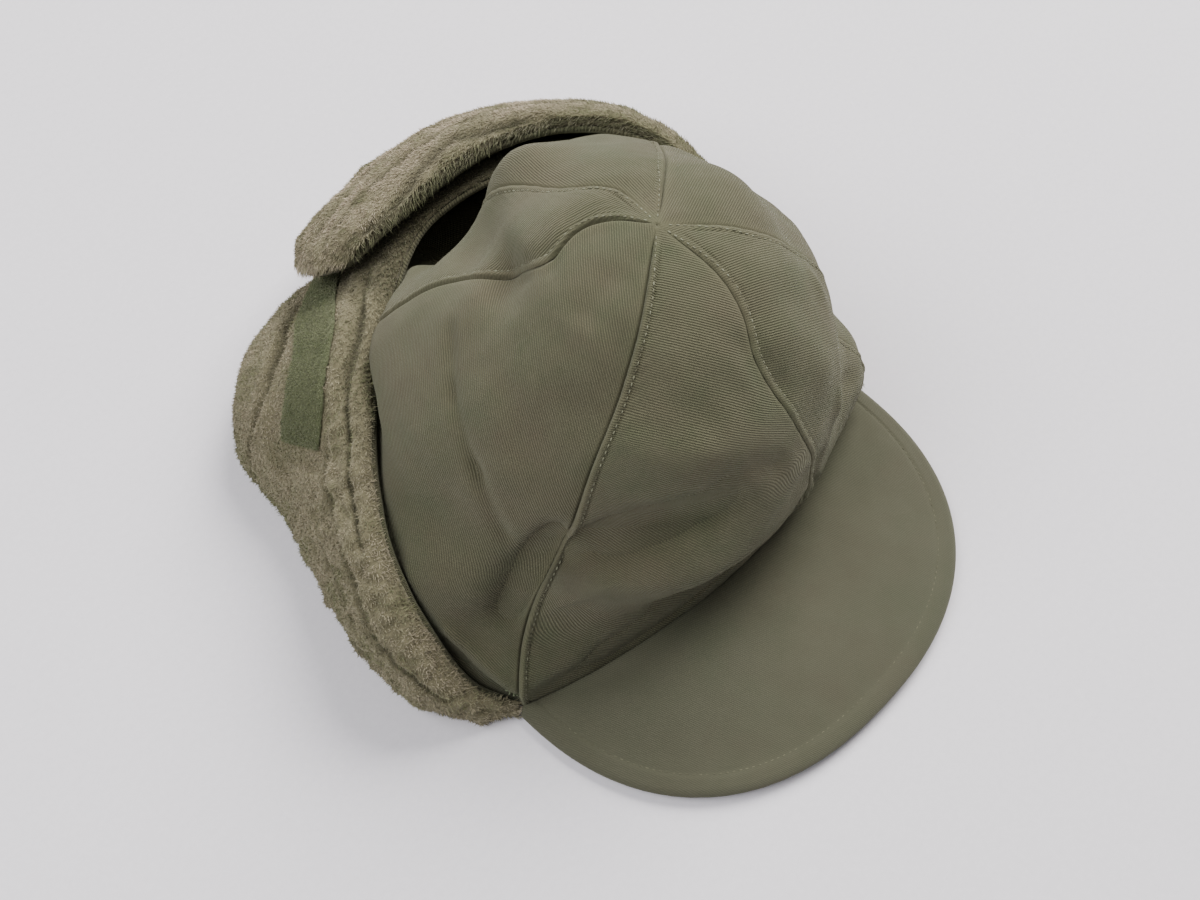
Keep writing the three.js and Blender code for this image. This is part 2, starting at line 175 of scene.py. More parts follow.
crown_wall, panel_puff, softness = 2, 1.2, 1.6
hem_hold = (0.04, 0.10)
normal_span, normal_step, level_band = (0.012, 0.985), 0.01, 0.12
print("crown", len(crown_sections["along"]), "sections and", len(crown_dents["angle"]), "dents")

# %% Sizes of the flaps
flap_columns = "angle footReach footHeight topRadius topHeight belly pile"
right_flap = dict(side=-1, start=50.5, stop=240, skew=0, round=0, clearance=2.5, rows=table(flap_columns, [
    (51, 1.5, 1.2, 107.5, 5, 0.5, 2.6),
    (58, 1.5, 1.2, 107, 13.5, 3, 6),
    (66, 4.5, 1.2, 100, 30, 5, 10.5),
    (77, 5, 1.2, 88.5, 44, 6, 10.5),
    (90, 3.5, 1.2, 75, 49, 4, 9),
    (108, 3, 1.2, 62, 52, 3.5, 7.5),
    (125, 9.5, 1.2, 57, 52, 6, 11),
    (140, 10, 1.2, 53, 52, 6, 11.5),
    (153, 6, 1.2, 54, 52, 4, 10),
    (166, 4, 1.2, 57, 53, 3, 8),
    (180, 2.3, 1.2, 61, 54, 4, 6),
    (205, 2.3, 1.2, 66, 55, 4, 5.5),
    (225, 2.3, 1.2, 74, 54, 4, 5),
    (240, 2.3, 1.2, 80, 52, 3, 4.5),
]))
left_flap = dict(side=1, start=51, stop=201, skew=7, round=5, clearance=4.2, rows=table(flap_columns, [
    (51, 2.3, 1.2, 104, 8, 0, 3),
    (60, 2.3, 1.2, 89, 17, 0, 3.5),
    (72, 2.3, 1.2, 84, 31, 0, 5),
    (90, 2.3, 1.2, 80, 46, 2, 7),
    (105, 2.5, 1.2, 83, 57, 4, 8),
    (118, 7.5, 2, 82, 62, 5, 8.5),
    (132, 10, 4, 78, 64, 6, 9),
    (148, 10.5, 7, 72, 65, 8, 9),
    (165, 10.5, 10, 66, 65, 8, 9),
    (182, 9, 14, 63.5, 65, 6, 8.5),
    (193, 7, 22, 65, 65, 5, 7),
    (201, 5, 30, 70.5, 60, 4, 5),
]))
flap_shell, flap_gap, rest_gap = 1.6, 0.3, 0.3
foot_bend, end_band, flap_step = 1.15, 25, 0.02
room_above, room_ease, room_fade, room_slope, room_steps = 7, 4, 1.5, 1.6, 17
chart_turns, chart_height = 360, 130

# %% [markdown]
# ## The crown's surface
# The crown is a stack of lopsided ovals that lean forward and to the left. It has slumped, so broad dents
# are taken out of it, and it is pressed in softly where a folded flap stands against it. Cloth could be
# dropped over a form instead, but these slumps belong to one cap on one day, so they are placed one by one.

# %% Hem and crown sections


def oval(angle, front, back, left, right):
    """Radius of an oval that reaches a different way to each of its four sides."""
    across, ahead = np.sin(np.radians(angle)), np.cos(np.radians(angle))
    side, end = np.where(across > 0, left, right), np.where(ahead > 0, front, back)
    return 1 / np.hypot(across / side, ahead / end)


def hem_oval(angle):
    return oval(angle, hem_half_length, hem_half_length, hem_half_width, hem_half_width)


def corner_rise(angle):
    """Extra radius where the peak spreads the hem to its two corners."""
    turn = np.abs(wrap(angle))
    middle = peak_seam_radius - peak_seam_front
    spread = np.where(wrap(angle) < 0, corner_spread_right, corner_spread_left)
    beyond = corner_reach * np.exp(-(((turn - corner_angle) / spread) ** 2))
    near = np.radians(np.minimum(turn, corner_angle))
    arc = np.sqrt(peak_seam_radius ** 2 - (middle * np.sin(near)) ** 2) - middle * np.cos(near)
    return np.where(turn > corner_angle, beyond, arc - hem_oval(np.minimum(turn, corner_angle)))


def hem_radius(angle):
    return hem_oval(angle) + corner_rise(angle)


def crown_base(angle, along):
    part = {name: read(crown_sections, name, along) for name in crown_sections}
    reach = oval(angle, part["front"], part["back"], part["left"], part["right"])
    reach = reach + part["corner"] * corner_rise(angle)
    centre = np.stack([part["midX"], part["midY"], part["height"]], -1)
    return centre + heading(angle) * reach[..., None]


def surface_normal(surface, angle, along):
    """Outward direction, level at the hem so that its edge stays flat."""
    low = np.clip(along, *normal_span)
    around = surface(angle + 1, low) - surface(angle - 1, low)
    upward = surface(angle, low + normal_step) - surface(angle, low - normal_step)
    normal = np.cross(around, upward)
    normal[..., 2] *= smooth(along, 0, level_band)
    return unit(normal)


def crown_dent(angle, along):
    total = 0
    for at, high, span, reach, depth in zip(*crown_dents.values()):
        total = total + depth * np.exp(-((wrap(angle - at) / span) ** 2) - ((along - high) / reach) ** 2)
    return total * smooth(along, *hem_hold)


# %% Flaps as the crown meets them


def flap_middle(flap, turn, across):
    """Radius and height of the surface between a flap's twill and plush, from its foot to its free edge."""
    part = {name: read(flap["rows"], name, turn) for name in flap["rows"]}
    foot = hem_radius(flap["side"] * turn) + part["footReach"]
    inward, up = foot - part["topRadius"], part["topHeight"] - part["footHeight"]
    slant = np.hypot(inward, up)
    bulge = part["belly"] * 4 * across * (1 - across)
    radius = foot - inward * across ** foot_bend + bulge * up / slant
    return np.stack([radius, part["footHeight"] + up * across + bulge * inward / slant], -1)


def flap_outward(flap, turn, across):
    low = np.clip(across, flap_step, 1 - flap_step)
    rise = flap_middle(flap, turn, low + flap_step) - flap_middle(flap, turn, low - flap_step)
    return unit(np.stack([rise[..., 1], -rise[..., 0]], -1))


def flap_point(flap, turn, across, offset):
    """A place on a flap, some way outside its middle surface; the flap's end is cut askew and rounded."""
    outward = flap_outward(flap, turn, across) * np.asarray(offset)[..., None]
    place = flap_middle(flap, turn, across) + outward
    end = flap["skew"] * (across - 0.5) + flap["round"] * 6.75 * across ** 2 * (1 - across)
    askew = end * smooth(turn, flap["stop"] - end_band, flap["stop"])
    point = heading(flap["side"] * (turn + askew)) * place[..., :1]
    point[..., 2] = np.maximum(place[..., 1], rest_gap)
    return point


def room_chart(flap):
    """Radius that a folded flap leaves free for the crown, at each degree and each millimetre of height."""
    turn = np.arange(chart_turns + 1.0)
    beyond = np.maximum(0, np.maximum(flap["start"] - turn, turn - flap["stop"]))[:, None]
    nearest = np.clip(turn, flap["start"], flap["stop"])
    inner, depth = [], flap_shell + flap["clearance"]
    for step in np.linspace(0, 1, room_steps):
        inner.append(flap_middle(flap, nearest, step) - flap_outward(flap, nearest, step) * depth)
    height = np.arange(chart_height + 1.0)[None, :]
    over = np.maximum(height - inner[-1][:, 1:] - room_above, 0)
    room = inner[-1][:, :1] + room_slope * over ** 2 / (over + room_ease)
    for below, here in zip(inner[-2::-1], inner[:0:-1]):
        share = (height - below[:, 1:]) / np.maximum(here[:, 1:] - below[:, 1:], 1e-6)
        between = here[:, :1] + (below[:, :1] - here[:, :1]) * (1 - share)
        room = np.where(here[:, 1:] >= height, between, room)
    room = np.where(inner[0][:, 1:] >= height, inner[0][:, :1], room)
    return room + beyond * room_fade


charts = [(flap["side"], room_chart(flap)) for flap in (right_flap, left_flap)]

# %% Crown pressed in by the flaps


def chart_value(chart, turn, height):
    """Room at any turn and height, between the chart's whole degrees and millimetres."""
    turn, height = np.clip(turn, 0, chart_turns - 0.001), np.clip(height, 0, chart_height - 0.001)
    i, j = turn.astype(int), height.astype(int)
    s, t = turn - i, height - j
    low = chart[i, j] * (1 - s) + chart[i + 1, j] * s
    return low * (1 - t) + (chart[i, j + 1] * (1 - s) + chart[i + 1, j + 1] * s) * t


def crown_point(angle, along, puff=0.0):
    """A place on the crown's cloth, puffed out, dented, and then kept inside both folded flaps."""
    normal = surface_normal(crown_base, angle, along)
    point = crown_base(angle, along) + normal * (puff - crown_dent(angle, along))[..., None]
    turn = np.degrees(np.arctan2(point[..., 0], -point[..., 1]))
    radius = np.hypot(point[..., 0], point[..., 1])
    room = np.minimum(*[chart_value(chart, (side * turn) % 360, point[..., 2]) for side, chart in charts])
    pressed = -softness * np.log(np.exp(-radius / softness) + np.exp(-room / softness))
    point[..., :2] *= (pressed / radius)[..., None]
    return point


print("crown's highest point", np.round(crown_point(np.array([0.0]), np.array([1.0]))[0], 1))

# %% [markdown]
# ## From a grid to a closed cloth body
# Cloth has two faces and an edge. The outer face needs a fine grid for its seams and creases, but the
# inner one is hardly seen, so it uses only some of the columns and rows. The edge joins both with faces
# of several corners, so no gap is left between fine and coarse.

# %% Cloth bodies


def wall(outer, inner, every):
    """Vertices, faces and picks of a closed body between two grids of the same size."""
    columns, rows = outer.shape[0] - 1, outer.shape[1] - 1
    pick_columns = np.unique(np.r_[0:columns:every, columns])
    pick_rows = np.unique(np.r_[0:rows:every, rows])
    at = np.arange(outer.shape[0] * outer.shape[1]).reshape(outer.shape[:2])
    coarse = len(at.ravel()) + np.arange(len(pick_columns) * len(pick_rows))
    coarse = coarse.reshape(len(pick_columns), len(pick_rows))
    vertices = np.concatenate([outer.reshape(-1, 3), inner[np.ix_(pick_columns, pick_rows)].reshape(-1, 3)])
    fine_quads = np.stack([at[:-1, :-1], at[1:, :-1], at[1:, 1:], at[:-1, 1:]], -1)
    back_quads = np.stack([coarse[:-1, :-1], coarse[:-1, 1:], coarse[1:, 1:], coarse[1:, :-1]], -1)
    faces = fine_quads.reshape(-1, 4).tolist() + back_quads.reshape(-1, 4).tolist()
    for i, (a, b) in enumerate(zip(pick_columns[:-1], pick_columns[1:])):
        faces.append([coarse[i, 0], coarse[i + 1, 0], *at[a:b + 1, 0][::-1]])
        faces.append([*at[a:b + 1, -1], coarse[i + 1, -1], coarse[i, -1]])
    for j, (a, b) in enumerate(zip(pick_rows[:-1], pick_rows[1:])):
        faces.append([*at[0, a:b + 1], coarse[0, j + 1], coarse[0, j]])
        faces.append([coarse[-1, j], coarse[-1, j + 1], *at[-1, a:b + 1][::-1]])
    return vertices, faces, (pick_columns, pick_rows)


def both_faces(values, picks):
    """A value of each grid point, for the fine face and then for the coarse one."""
    coarse = values[np.ix_(*picks)]
    return np.concatenate([values.reshape(-1, *values.shape[2:]), coarse.reshape(-1, *values.shape[2:])])


def linked(name, data):
    """A new object in the scene that shows the data."""
    made = bpy.data.objects.new(name, data)
    bpy.context.scene.collection.objects.link(made)
    return made


def set_mark(mesh, label, values):
    """A named attribute with a number or a direction for each vertex."""
    kind, field = ("FLOAT_VECTOR", "vector") if values.ndim == 2 else ("FLOAT", "value")
    mesh.attributes.new(label, kind, "POINT").data.foreach_set(field, values.astype(np.float32).ravel())


def cloth_object(name, vertices, faces, cloth, **marks):
    """A mesh object in metres in the frame's own place, with its cloth coordinates and named attributes."""
    mesh = bpy.data.meshes.new(name)
    faces = [[int(v) for v in face] for face in faces]
    mesh.from_pydata(((vertices + hem_centre) * MM).tolist(), [], faces)
    corners = np.zeros(len(mesh.loops), int)
    mesh.loops.foreach_get("vertex_index", corners)
    layer = mesh.uv_layers.new(name="cloth")
    layer.data.foreach_set("uv", (cloth[corners] * MM).astype(np.float32).ravel())
    for label, values in marks.items():
        set_mark(mesh, label, values)
    mesh.shade_smooth()
    return linked(name, mesh)


def grid_normals(points):
    """Outward direction at each point of a grid of columns and rows."""
    return unit(np.cross(np.gradient(points, axis=0), np.gradient(points, axis=1)))


def lengths(points, axis):
    """Length of cloth from the grid's first column or row, in millimetres."""
    steps = np.linalg.norm(np.diff(points, axis=axis), axis=-1)
    start = np.zeros_like(np.take(steps, [0], axis=axis))
    return np.concatenate([start, np.cumsum(steps, axis=axis)], axis=axis)


# %% [markdown]
# ## Laying a curved panel flat
# The weave of a real panel was straight before the panel was sewn, so its pattern needs the panel's flat
# shape. The middle column of the grid is laid down first, turning as much as it turns on the crown. Then
# each row is laid out from it to both sides in the same way. What the dome bends, the flat shape opens.

# %% Flat shape


def turning(before, after, up):
    """Angle from one direction to another, seen with up towards the eye."""
    return np.arctan2((np.cross(before, after) * up).sum(-1), (before * after).sum(-1))


def step_out(distance, direction, axis):
    steps = np.stack([distance * np.cos(direction), distance * np.sin(direction)], -1)
    return np.concatenate([np.zeros_like(np.take(steps, [0], axis)), np.cumsum(steps, axis)], axis)


def unrolled(points, ups):
    """Place of each grid point on the flat cloth, in millimetres, with the middle column going up."""
    middle = points.shape[0] // 2
    up_steps, over_steps = np.diff(points[middle], axis=0), np.diff(points, axis=0)
    bends = turning(up_steps[:-1], up_steps[1:], ups[middle, 1:-1])
    climb = np.pi / 2 + np.r_[0, np.cumsum(bends)]
    spine = step_out(np.linalg.norm(up_steps, axis=-1), climb, 0)
    climb, up_steps = np.r_[climb, climb[-1]], np.concatenate([up_steps, up_steps[-1:]])
    leave = climb + turning(up_steps, over_steps[middle], ups[middle])
    bends = turning(over_steps[:-1], over_steps[1:], ups[1:-1])
    course = np.concatenate([0 * bends[:1], np.cumsum(bends, 0)])
    flat = step_out(np.linalg.norm(over_steps, axis=-1), course - course[middle] + leave, 0)
    return flat - flat[middle] + spine


# %% [markdown]
# ## Seams, creases and soft swells
# Each crown seam is felled: the sewn edges lie under one of the two panels and a row of stitches holds
# them down. So there is a sharp groove on the seam itself, a flat welt beside it, and a dimpled line
# under the stitches. The creases are what folding has left in the cloth. Each runs from one point of the
# crown to another, and a broad one near the hem makes the hollow under the front's bulge.

# %% Seams and creases of the crown
welt_edge, groove_width, pucker_pitch, crease_run_out = 2.4, 0.55, 6.3, 0.3
seam_kinds = {
    "backRight": dict(felled="before", groove=1.6, welt=0.2, slack=(0.70, 0.80)),
    "cornerRight": dict(felled="after", groove=0.8, welt=1.1, slack=None),
    "front": dict(felled="after", groove=0.3, welt=0.15, slack=None),
    "cornerLeft": dict(felled="before", groove=0.3, welt=0.15, slack=None),
    "sideLeft": dict(felled="after", groove=0.9, welt=0.35, slack=None),
    "back": dict(felled="after", groove=0.35, welt=0.1, slack=None),
}
creases = table("fromAngle fromAlong toAngle toAlong width depth", [
    (-122, 0.56, -104, 0.51, 2.4, 1.6),
    (-104, 0.51, -83, 0.446, 2.2, 2.1),
    (-83, 0.446, -66, 0.36, 2.6, 2.0),
    (-98, 0.56, -74, 0.46, 7.0, -1.3),
    (-56, 0.38, -55, 0.21, 5.0, 6.5),
    (-70, 0.30, -60, 0.22, 8.0, -1.0),
    (-126, 0.82, -130, 0.73, 5.0, 1.4),
    (-4, 0.75, 2, 0.60, 4.0, 1.6),
    (12, 0.72, 22, 0.52, 7.0, -1.4),
    (44, 0.62, 25, 0.40, 2.6, -1.5),
    (25, 0.41, 18, 0.24, 3.0, -1.2),
    (52, 0.58, 36, 0.38, 4.0, 1.6),
    (-56, 0.36, -43, 0.385, 6.0, 3.0),
    (-43, 0.385, -18, 0.46, 8.0, 4.6),
    (-19, 0.49, -2, 0.47, 7.0, 1.8),
    (-47, 0.23, -38, 0.31, 2.2, -0.8),
    (-46, 0.05, -34, 0.08, 5.0, 3.0),
    (-34, 0.08, -20, 0.12, 6.0, 5.0),
    (-20, 0.12, -6, 0.165, 6.5, 6.5),
    (-6, 0.165, 12, 0.18, 6.5, 7.0),
    (4, 0.34, 18, 0.30, 6.0, 1.0),
    (-76, 0.215, -62, 0.145, 1.8, -1.6),
    (-62, 0.145, -50, 0.078, 1.6, -1.5),
    (-80, 0.16, -62, 0.10, 3.5, 2.6),
    (-62, 0.10, -51, 0.045, 3.2, 2.4),
    (-84, 0.28, -60, 0.20, 6.0, -0.8),
    (-88, 0.62, -66, 0.72, 9.0, -1.0),
    (-92, 0.90, -84, 0.80, 7.0, 1.0),
    (150, 0.62, 170, 0.46, 6.0, 1.2),
    (100, 0.46, 128, 0.38, 5.0, 1.4),
    (74, 0.50, 96, 0.40, 6.0, -1.4),
    (32, 0.30, 44, 0.20, 4.0, 1.4),
    (17, 0.25, 22, 0.15, 1.6, 1.2),
])
print(len(seam_kinds), "seams and", len(creases["width"]), "creases")

# %% Relief of the crown


def seam_relief(distance, travel, along, kind, felled):
    """Height of the cloth beside a seam, by its distance from the seam and its place along it."""
    height = -kind["groove"] * np.exp(-((distance / groove_width) ** 2))
    if kind["slack"]:
        start, stop = kind["slack"]
        height *= 1 - 0.8 * smooth(along, start - 0.03, start) * (1 - smooth(along, stop, stop + 0.03))
    if not felled:
        return height - 0.3 * np.exp(-distance / 1.8)
    middle = welt_edge / 2
    welt = np.sqrt(np.clip(1 - ((distance - middle) / middle) ** 2, 0, 1))
    welt = welt + 0.35 * smooth(distance, welt_edge, 0.5)
    wave = np.sin(travel * 2 * np.pi / pucker_pitch + 2 * np.sin(travel / 11))
    pucker = 0.12 * wave * np.exp(-distance / 6)
    stitched = 0.3 * np.exp(-(((distance - welt_edge) / 0.4) ** 2))
    return height + kind["welt"] * welt - stitched + pucker


def crease_relief(points):
    """Height left by the creases, each a valley or a ridge along a straight stretch."""
    height = np.zeros(points.shape[:-1])
    ends = crown_point(np.stack([creases["fromAngle"], creases["toAngle"]]),
                       np.stack([creases["fromAlong"], creases["toAlong"]]))
    for start, end, width, depth in zip(ends[0], ends[1], creases["width"], creases["depth"]):
        run = end - start
        share = np.clip((points - start) @ run / (run @ run), -crease_run_out, 1 + crease_run_out)
        away = np.linalg.norm(points - start - share[..., None] * run, axis=-1)
        fade = smooth(share, -crease_run_out, 0.15) * (1 - smooth(share, 0.85, 1 + crease_run_out))
        height -= depth * fade * np.exp(-((away / width) ** 2))
    return height


# %% [markdown]
# ## The six crown panels
# A panel is laid out like the cut cloth: columns at fixed distances from its two seams, where the detail
# is, and evenly spread between them. The same distances give each point its place on the cloth, which the
# weave follows.

# %% Panels
seam_columns = np.array([0, 0.2, 0.4, 0.65, 0.95, 1.3, 1.7, 2.2, 2.7, 3.3, 4.1])
stitch_column = int(np.argmin(np.abs(seam_columns - welt_edge)))
middle_columns, panel_rows, trial_columns, narrow_panel = 84, 150, 49, 24
panels = {
    "crown_side_right": ("backRight", "cornerRight"),
    "crown_front_right": ("cornerRight", "front"),
    "crown_front_left": ("front", "cornerLeft"),
    "crown_side_left": ("cornerLeft", "sideLeft"),
    "crown_back_left": ("sideLeft", "back"),
    "crown_back_right": ("back", "backRight"),
}


def panel_grid(first, following):
    """Angles of a panel's grid, its rows' places along the crown, and its widths from the first seam."""
    along = np.linspace(0, 1, panel_rows + 1)
    start, end = read(seam_angles, first, along), read(seam_angles, following, along)
    end = end + np.where(end < start, 360, 0)
    trial = start + (end - start) * np.linspace(0, 1, trial_columns)[:, None]
    run = lengths(crown_point(trial, np.broadcast_to(along, trial.shape)), 0)
    width = run[-1]
    ease = np.minimum(1, width / narrow_panel)
    near = seam_columns[:, None] * ease
    between = near[-1] + (width - 2 * near[-1]) * np.linspace(0, 1, middle_columns + 2)[1:-1, None]
    across = np.concatenate([near, between, (width - near)[::-1]])
    angle = np.stack([np.interp(across[:, j], run[:, j], trial[:, j]) for j in range(panel_rows + 1)], 1)
    return angle, np.broadcast_to(along, angle.shape), across, width


def crown_panel(name, first, following):
    """The panel's object, its cut width and length, its area, and the lines that its stitches follow."""
    angle, along, across, width = panel_grid(first, following)
    share = across / np.maximum(width, 1e-6)
    puff = panel_puff * np.sin(np.pi * share) * smooth(along, 0.05, 0.3) * (1 - smooth(along, 0.8, 1))
    plain = crown_point(angle, along, puff)
    normal = surface_normal(crown_point, angle, along)
    travel = lengths(plain, 1)
    middle = plain.shape[0] // 2
    relief = crease_relief(plain) + 0.45 * ripple(plain, 17, 3) + 0.16 * ripple(plain, 6, 4)
    near_seam = np.minimum(across, width - across)
    relief *= smooth(along, 0.0, 0.10) * (0.35 + 0.65 * smooth(near_seam, 0, 5))
    for seam, distance, side in ((first, across, "after"), (following, width - across, "before")):
        kind = seam_kinds[seam]
        seam_height = seam_relief(distance, travel, along, kind, kind["felled"] == side)
        relief = relief + seam_height * smooth(width, 2, 14)
    outer = plain + normal * relief[..., None]
    outer[..., 2] = np.maximum(outer[..., 2], 0)
    inner = plain - normal * crown_wall
    inner[:, 0, 2] = 0
    vertices, faces, picks = wall(outer, inner, 6)
    cloth = unrolled(plain, normal)
    seam = np.exp(-((near_seam / 1.6) ** 2))
    piece = cloth_object(name, vertices, faces, both_faces(cloth, picks), seam=both_faces(seam, picks))
    area = float(np.trapz(width, travel[middle]))
    flat = (float(width.max()), float(travel[middle, -1]))
    lines = []
    for label, column, side in ((first, stitch_column, "after"), (following, -1 - stitch_column, "before")):
        if seam_kinds[label]["felled"] == side:
            lines.append((outer[column], normal[column]))
    print(name, len(faces), "faces, cut", [round(v) for v in flat], "mm, area", round(area / 100), "cm2")
    return piece, flat, area, lines


crown = {name: crown_panel(name + "_cloth", *seams) for name, seams in panels.items()}

# %% [markdown]
# ## Growing small parts with Geometry Nodes
# Hundreds of stitches and tens of thousands of fibres follow the cloth, so a node tree places them. Each
# tree takes named inputs for its sizes. Its result is turned into a plain mesh at once, so that nothing
# is left to evaluate.

# %% Node trees


def add(tree, kind, inputs=None, output=0, **settings):
    """One output of a new node, whose inputs are set to values or joined to other nodes' outputs."""
    made = tree.nodes.new(kind)
    for label, value in settings.items():
        setattr(made, label, value)
    for label, value in (inputs or {}).items():
        if isinstance(value, bpy.types.NodeSocket):
            tree.links.new(value, made.inputs[label])
        else:
            made.inputs[label].default_value = value
    return made.outputs[output]


def number(tree, operation, first, second):
    return add(tree, "ShaderNodeMath", {0: first, 1: second}, operation=operation)


def times(tree, first, second):
    return number(tree, "MULTIPLY", first, second)


def vector(tree, operation, first, second):
    """Two vectors joined, or one scaled by a number."""
    other = "Scale" if operation == "SCALE" else 1
    return add(tree, "ShaderNodeVectorMath", {0: first, other: second}, operation=operation)


def named(tree, label, kind="FLOAT"):
    return add(tree, "GeometryNodeInputNamedAttribute", {"Name": label}, data_type=kind)


def store(tree, geometry, label, value):
    inputs = {"Geometry": geometry, "Name": label, "Value": value}
    return add(tree, "GeometryNodeStoreNamedAttribute", inputs, data_type="FLOAT", domain="POINT")


def geometry_tree(name, inputs):
    """An empty tree, the outputs of its entry, and the identifier of each named input."""
    tree = bpy.data.node_groups.new(name, "GeometryNodeTree")
    tree.interface.new_socket("Geometry", in_out="OUTPUT", socket_type="NodeSocketGeometry")
    tree.interface.new_socket("Geometry", in_out="INPUT", socket_type="NodeSocketGeometry")
    keys = {}
    for label, (kind, value) in inputs.items():
        item = tree.interface.new_socket(label, in_out="INPUT", socket_type="NodeSocket" + kind)
        if value is not None:
            item.default_value = value
        keys[label] = item.identifier
    return tree, tree.nodes.new("NodeGroupInput").outputs, keys


def finish_tree(tree, instances, material):
    real = add(tree, "GeometryNodeRealizeInstances", {"Geometry": instances})
    painted = add(tree, "GeometryNodeSetMaterial", {"Geometry": real, "Material": material})
    tree.links.new(painted, tree.nodes.new("NodeGroupOutput").inputs["Geometry"])


def grow(name, carrier, tree, keys, values):
    """A plain mesh object of what the tree makes on the carrier."""
    modifier = carrier.modifiers.new("grow", "NODES")
    modifier.node_group = tree
    for label, value in values.items():
        modifier[keys[label]] = value
    seen = carrier.evaluated_get(bpy.context.evaluated_depsgraph_get())
    mesh = bpy.data.meshes.new_from_object(seen)
    mesh.name = name
    carrier.modifiers.remove(modifier)
    print(name, len(mesh.polygons), "faces")
    return linked(name, mesh)


# %% [markdown]
# ## Cloth, pile and tape
# Brushed twill shows fine slanting ribs, broken by the threads that cross them, and it has faded in
# uneven patches of brown and green. Plush is painted darker at the roots of its fibres, as painted shade
# between them, and paler at their tips; its furrows and the bands under the flaps' edges are painted in
# shade too.
# Each material works out its colour, its roughness and its small relief from noise and from the place on
# the cloth.

# %% Shader helpers


def surface(name, roughness, sheen, sheen_tint, sheen_roughness=0.5):
    material = bpy.data.materials.new(name)
    material.use_nodes = True
    shader = material.node_tree.nodes["Principled BSDF"]
    finish = {"Roughness": roughness, "Specular IOR Level": 0.2, "Sheen Weight": sheen,
              "Sheen Tint": (*sheen_tint, 1), "Sheen Roughness": sheen_roughness}
    for label, value in finish.items():
        shader.inputs[label].default_value = value
    return material, material.node_tree, shader


def paint(tree, shader, colour, height, strength, depth):
    """Give the shader its colour and a small relief, whose depth is in metres."""
    relief = add(tree, "ShaderNodeBump", {"Height": height, "Strength": strength, "Distance": depth})
    tree.links.new(colour, shader.inputs["Base Color"])
    tree.links.new(relief, shader.inputs["Normal"])


def own_place(tree):
    return add(tree, "ShaderNodeTexCoord", output="Object")


def mark(tree, label):
    return add(tree, "ShaderNodeAttribute", output="Fac", attribute_name=label)


def noise(tree, place, scale, detail=2.0, rough=0.5):
    inputs = {"Vector": place, "Scale": scale, "Detail": detail, "Roughness": rough}
    return add(tree, "ShaderNodeTexNoise", inputs, "Fac")


def span(tree, value, low, high, to_low=0.0, to_high=1.0):
    inputs = {"Value": value, "From Min": low, "From Max": high, "To Min": to_low, "To Max": to_high}
    return add(tree, "ShaderNodeMapRange", inputs, "Result")


def blend(tree, share, first, second, mode="MIX"):
    """A mix of two colours, each an output of a node or its red, green and blue."""
    first, second = [(*colour, 1) if isinstance(colour, tuple) else colour for colour in (first, second)]
    return add(tree, "ShaderNodeMix", {0: share, 6: first, 7: second}, 2, data_type="RGBA", blend_type=mode)


# %% Twill
wave_period = 2 * math.pi / 20
thread_share, seam_grey = 0.62, (0.42, 0.42, 0.42)


def twill(name, rib_angle, khaki, green, brown, rib=0.00074, patch=38, bump=1.0, contrast=0.85):
    """Brushed cotton twill whose ribs lie on the cloth at rib_angle degrees from its width."""
    material, tree, shader = surface(name, 0.93, 0.22, (0.62, 0.64, 0.5))
    cloth = add(tree, "ShaderNodeUVMap", uv_map="cloth")
    place = own_place(tree)
    turn = (0, 0, math.radians(90 - rib_angle))
    band = {"Vector": add(tree, "ShaderNodeMapping", {"Vector": cloth, "Rotation": turn}),
            "Distortion": 1.0, "Detail": 2.0, "Detail Scale": 1.4, "Detail Roughness": 0.6}
    ribs = add(tree, "ShaderNodeTexWave", {**band, "Scale": wave_period / rib}, "Fac", bands_direction="X")
    threads = add(tree, "ShaderNodeTexWave", {**band, "Scale": wave_period / (thread_share * rib)}, "Fac",
                  bands_direction="Y")
    patches = noise(tree, place, patch, 3.0, 0.6)
    worn = noise(tree, place, 3.2 * patch, 3.0, 0.65)
    speckle = noise(tree, cloth, 2600, 2.0, 0.7)
    colour = blend(tree, span(tree, patches, 0.36, 0.64), green, brown)
    colour = blend(tree, span(tree, worn, 0.3, 0.7, 0.25, 0.85), colour, khaki)
    seam = mark(tree, "seam")
    colour = blend(tree, times(tree, seam, 0.15), colour, khaki)
    weave = times(tree, ribs, span(tree, threads, 0, 1, 0.55, 1))
    weave = blend(tree, times(tree, seam, 0.8), weave, seam_grey)
    shade = times(tree, span(tree, weave, 0, 1, 1 - 0.5 * contrast, 1 + 0.36 * contrast),
                  span(tree, speckle, 0.25, 0.75, 1 - 0.26 * contrast, 1 + 0.26 * contrast))
    colour = blend(tree, 1.0, colour, shade, "MULTIPLY")
    paint(tree, shader, colour, number(tree, "ADD", weave, times(tree, speckle, 0.6)), bump, 0.00028)
    return material


# %% Pile and thread


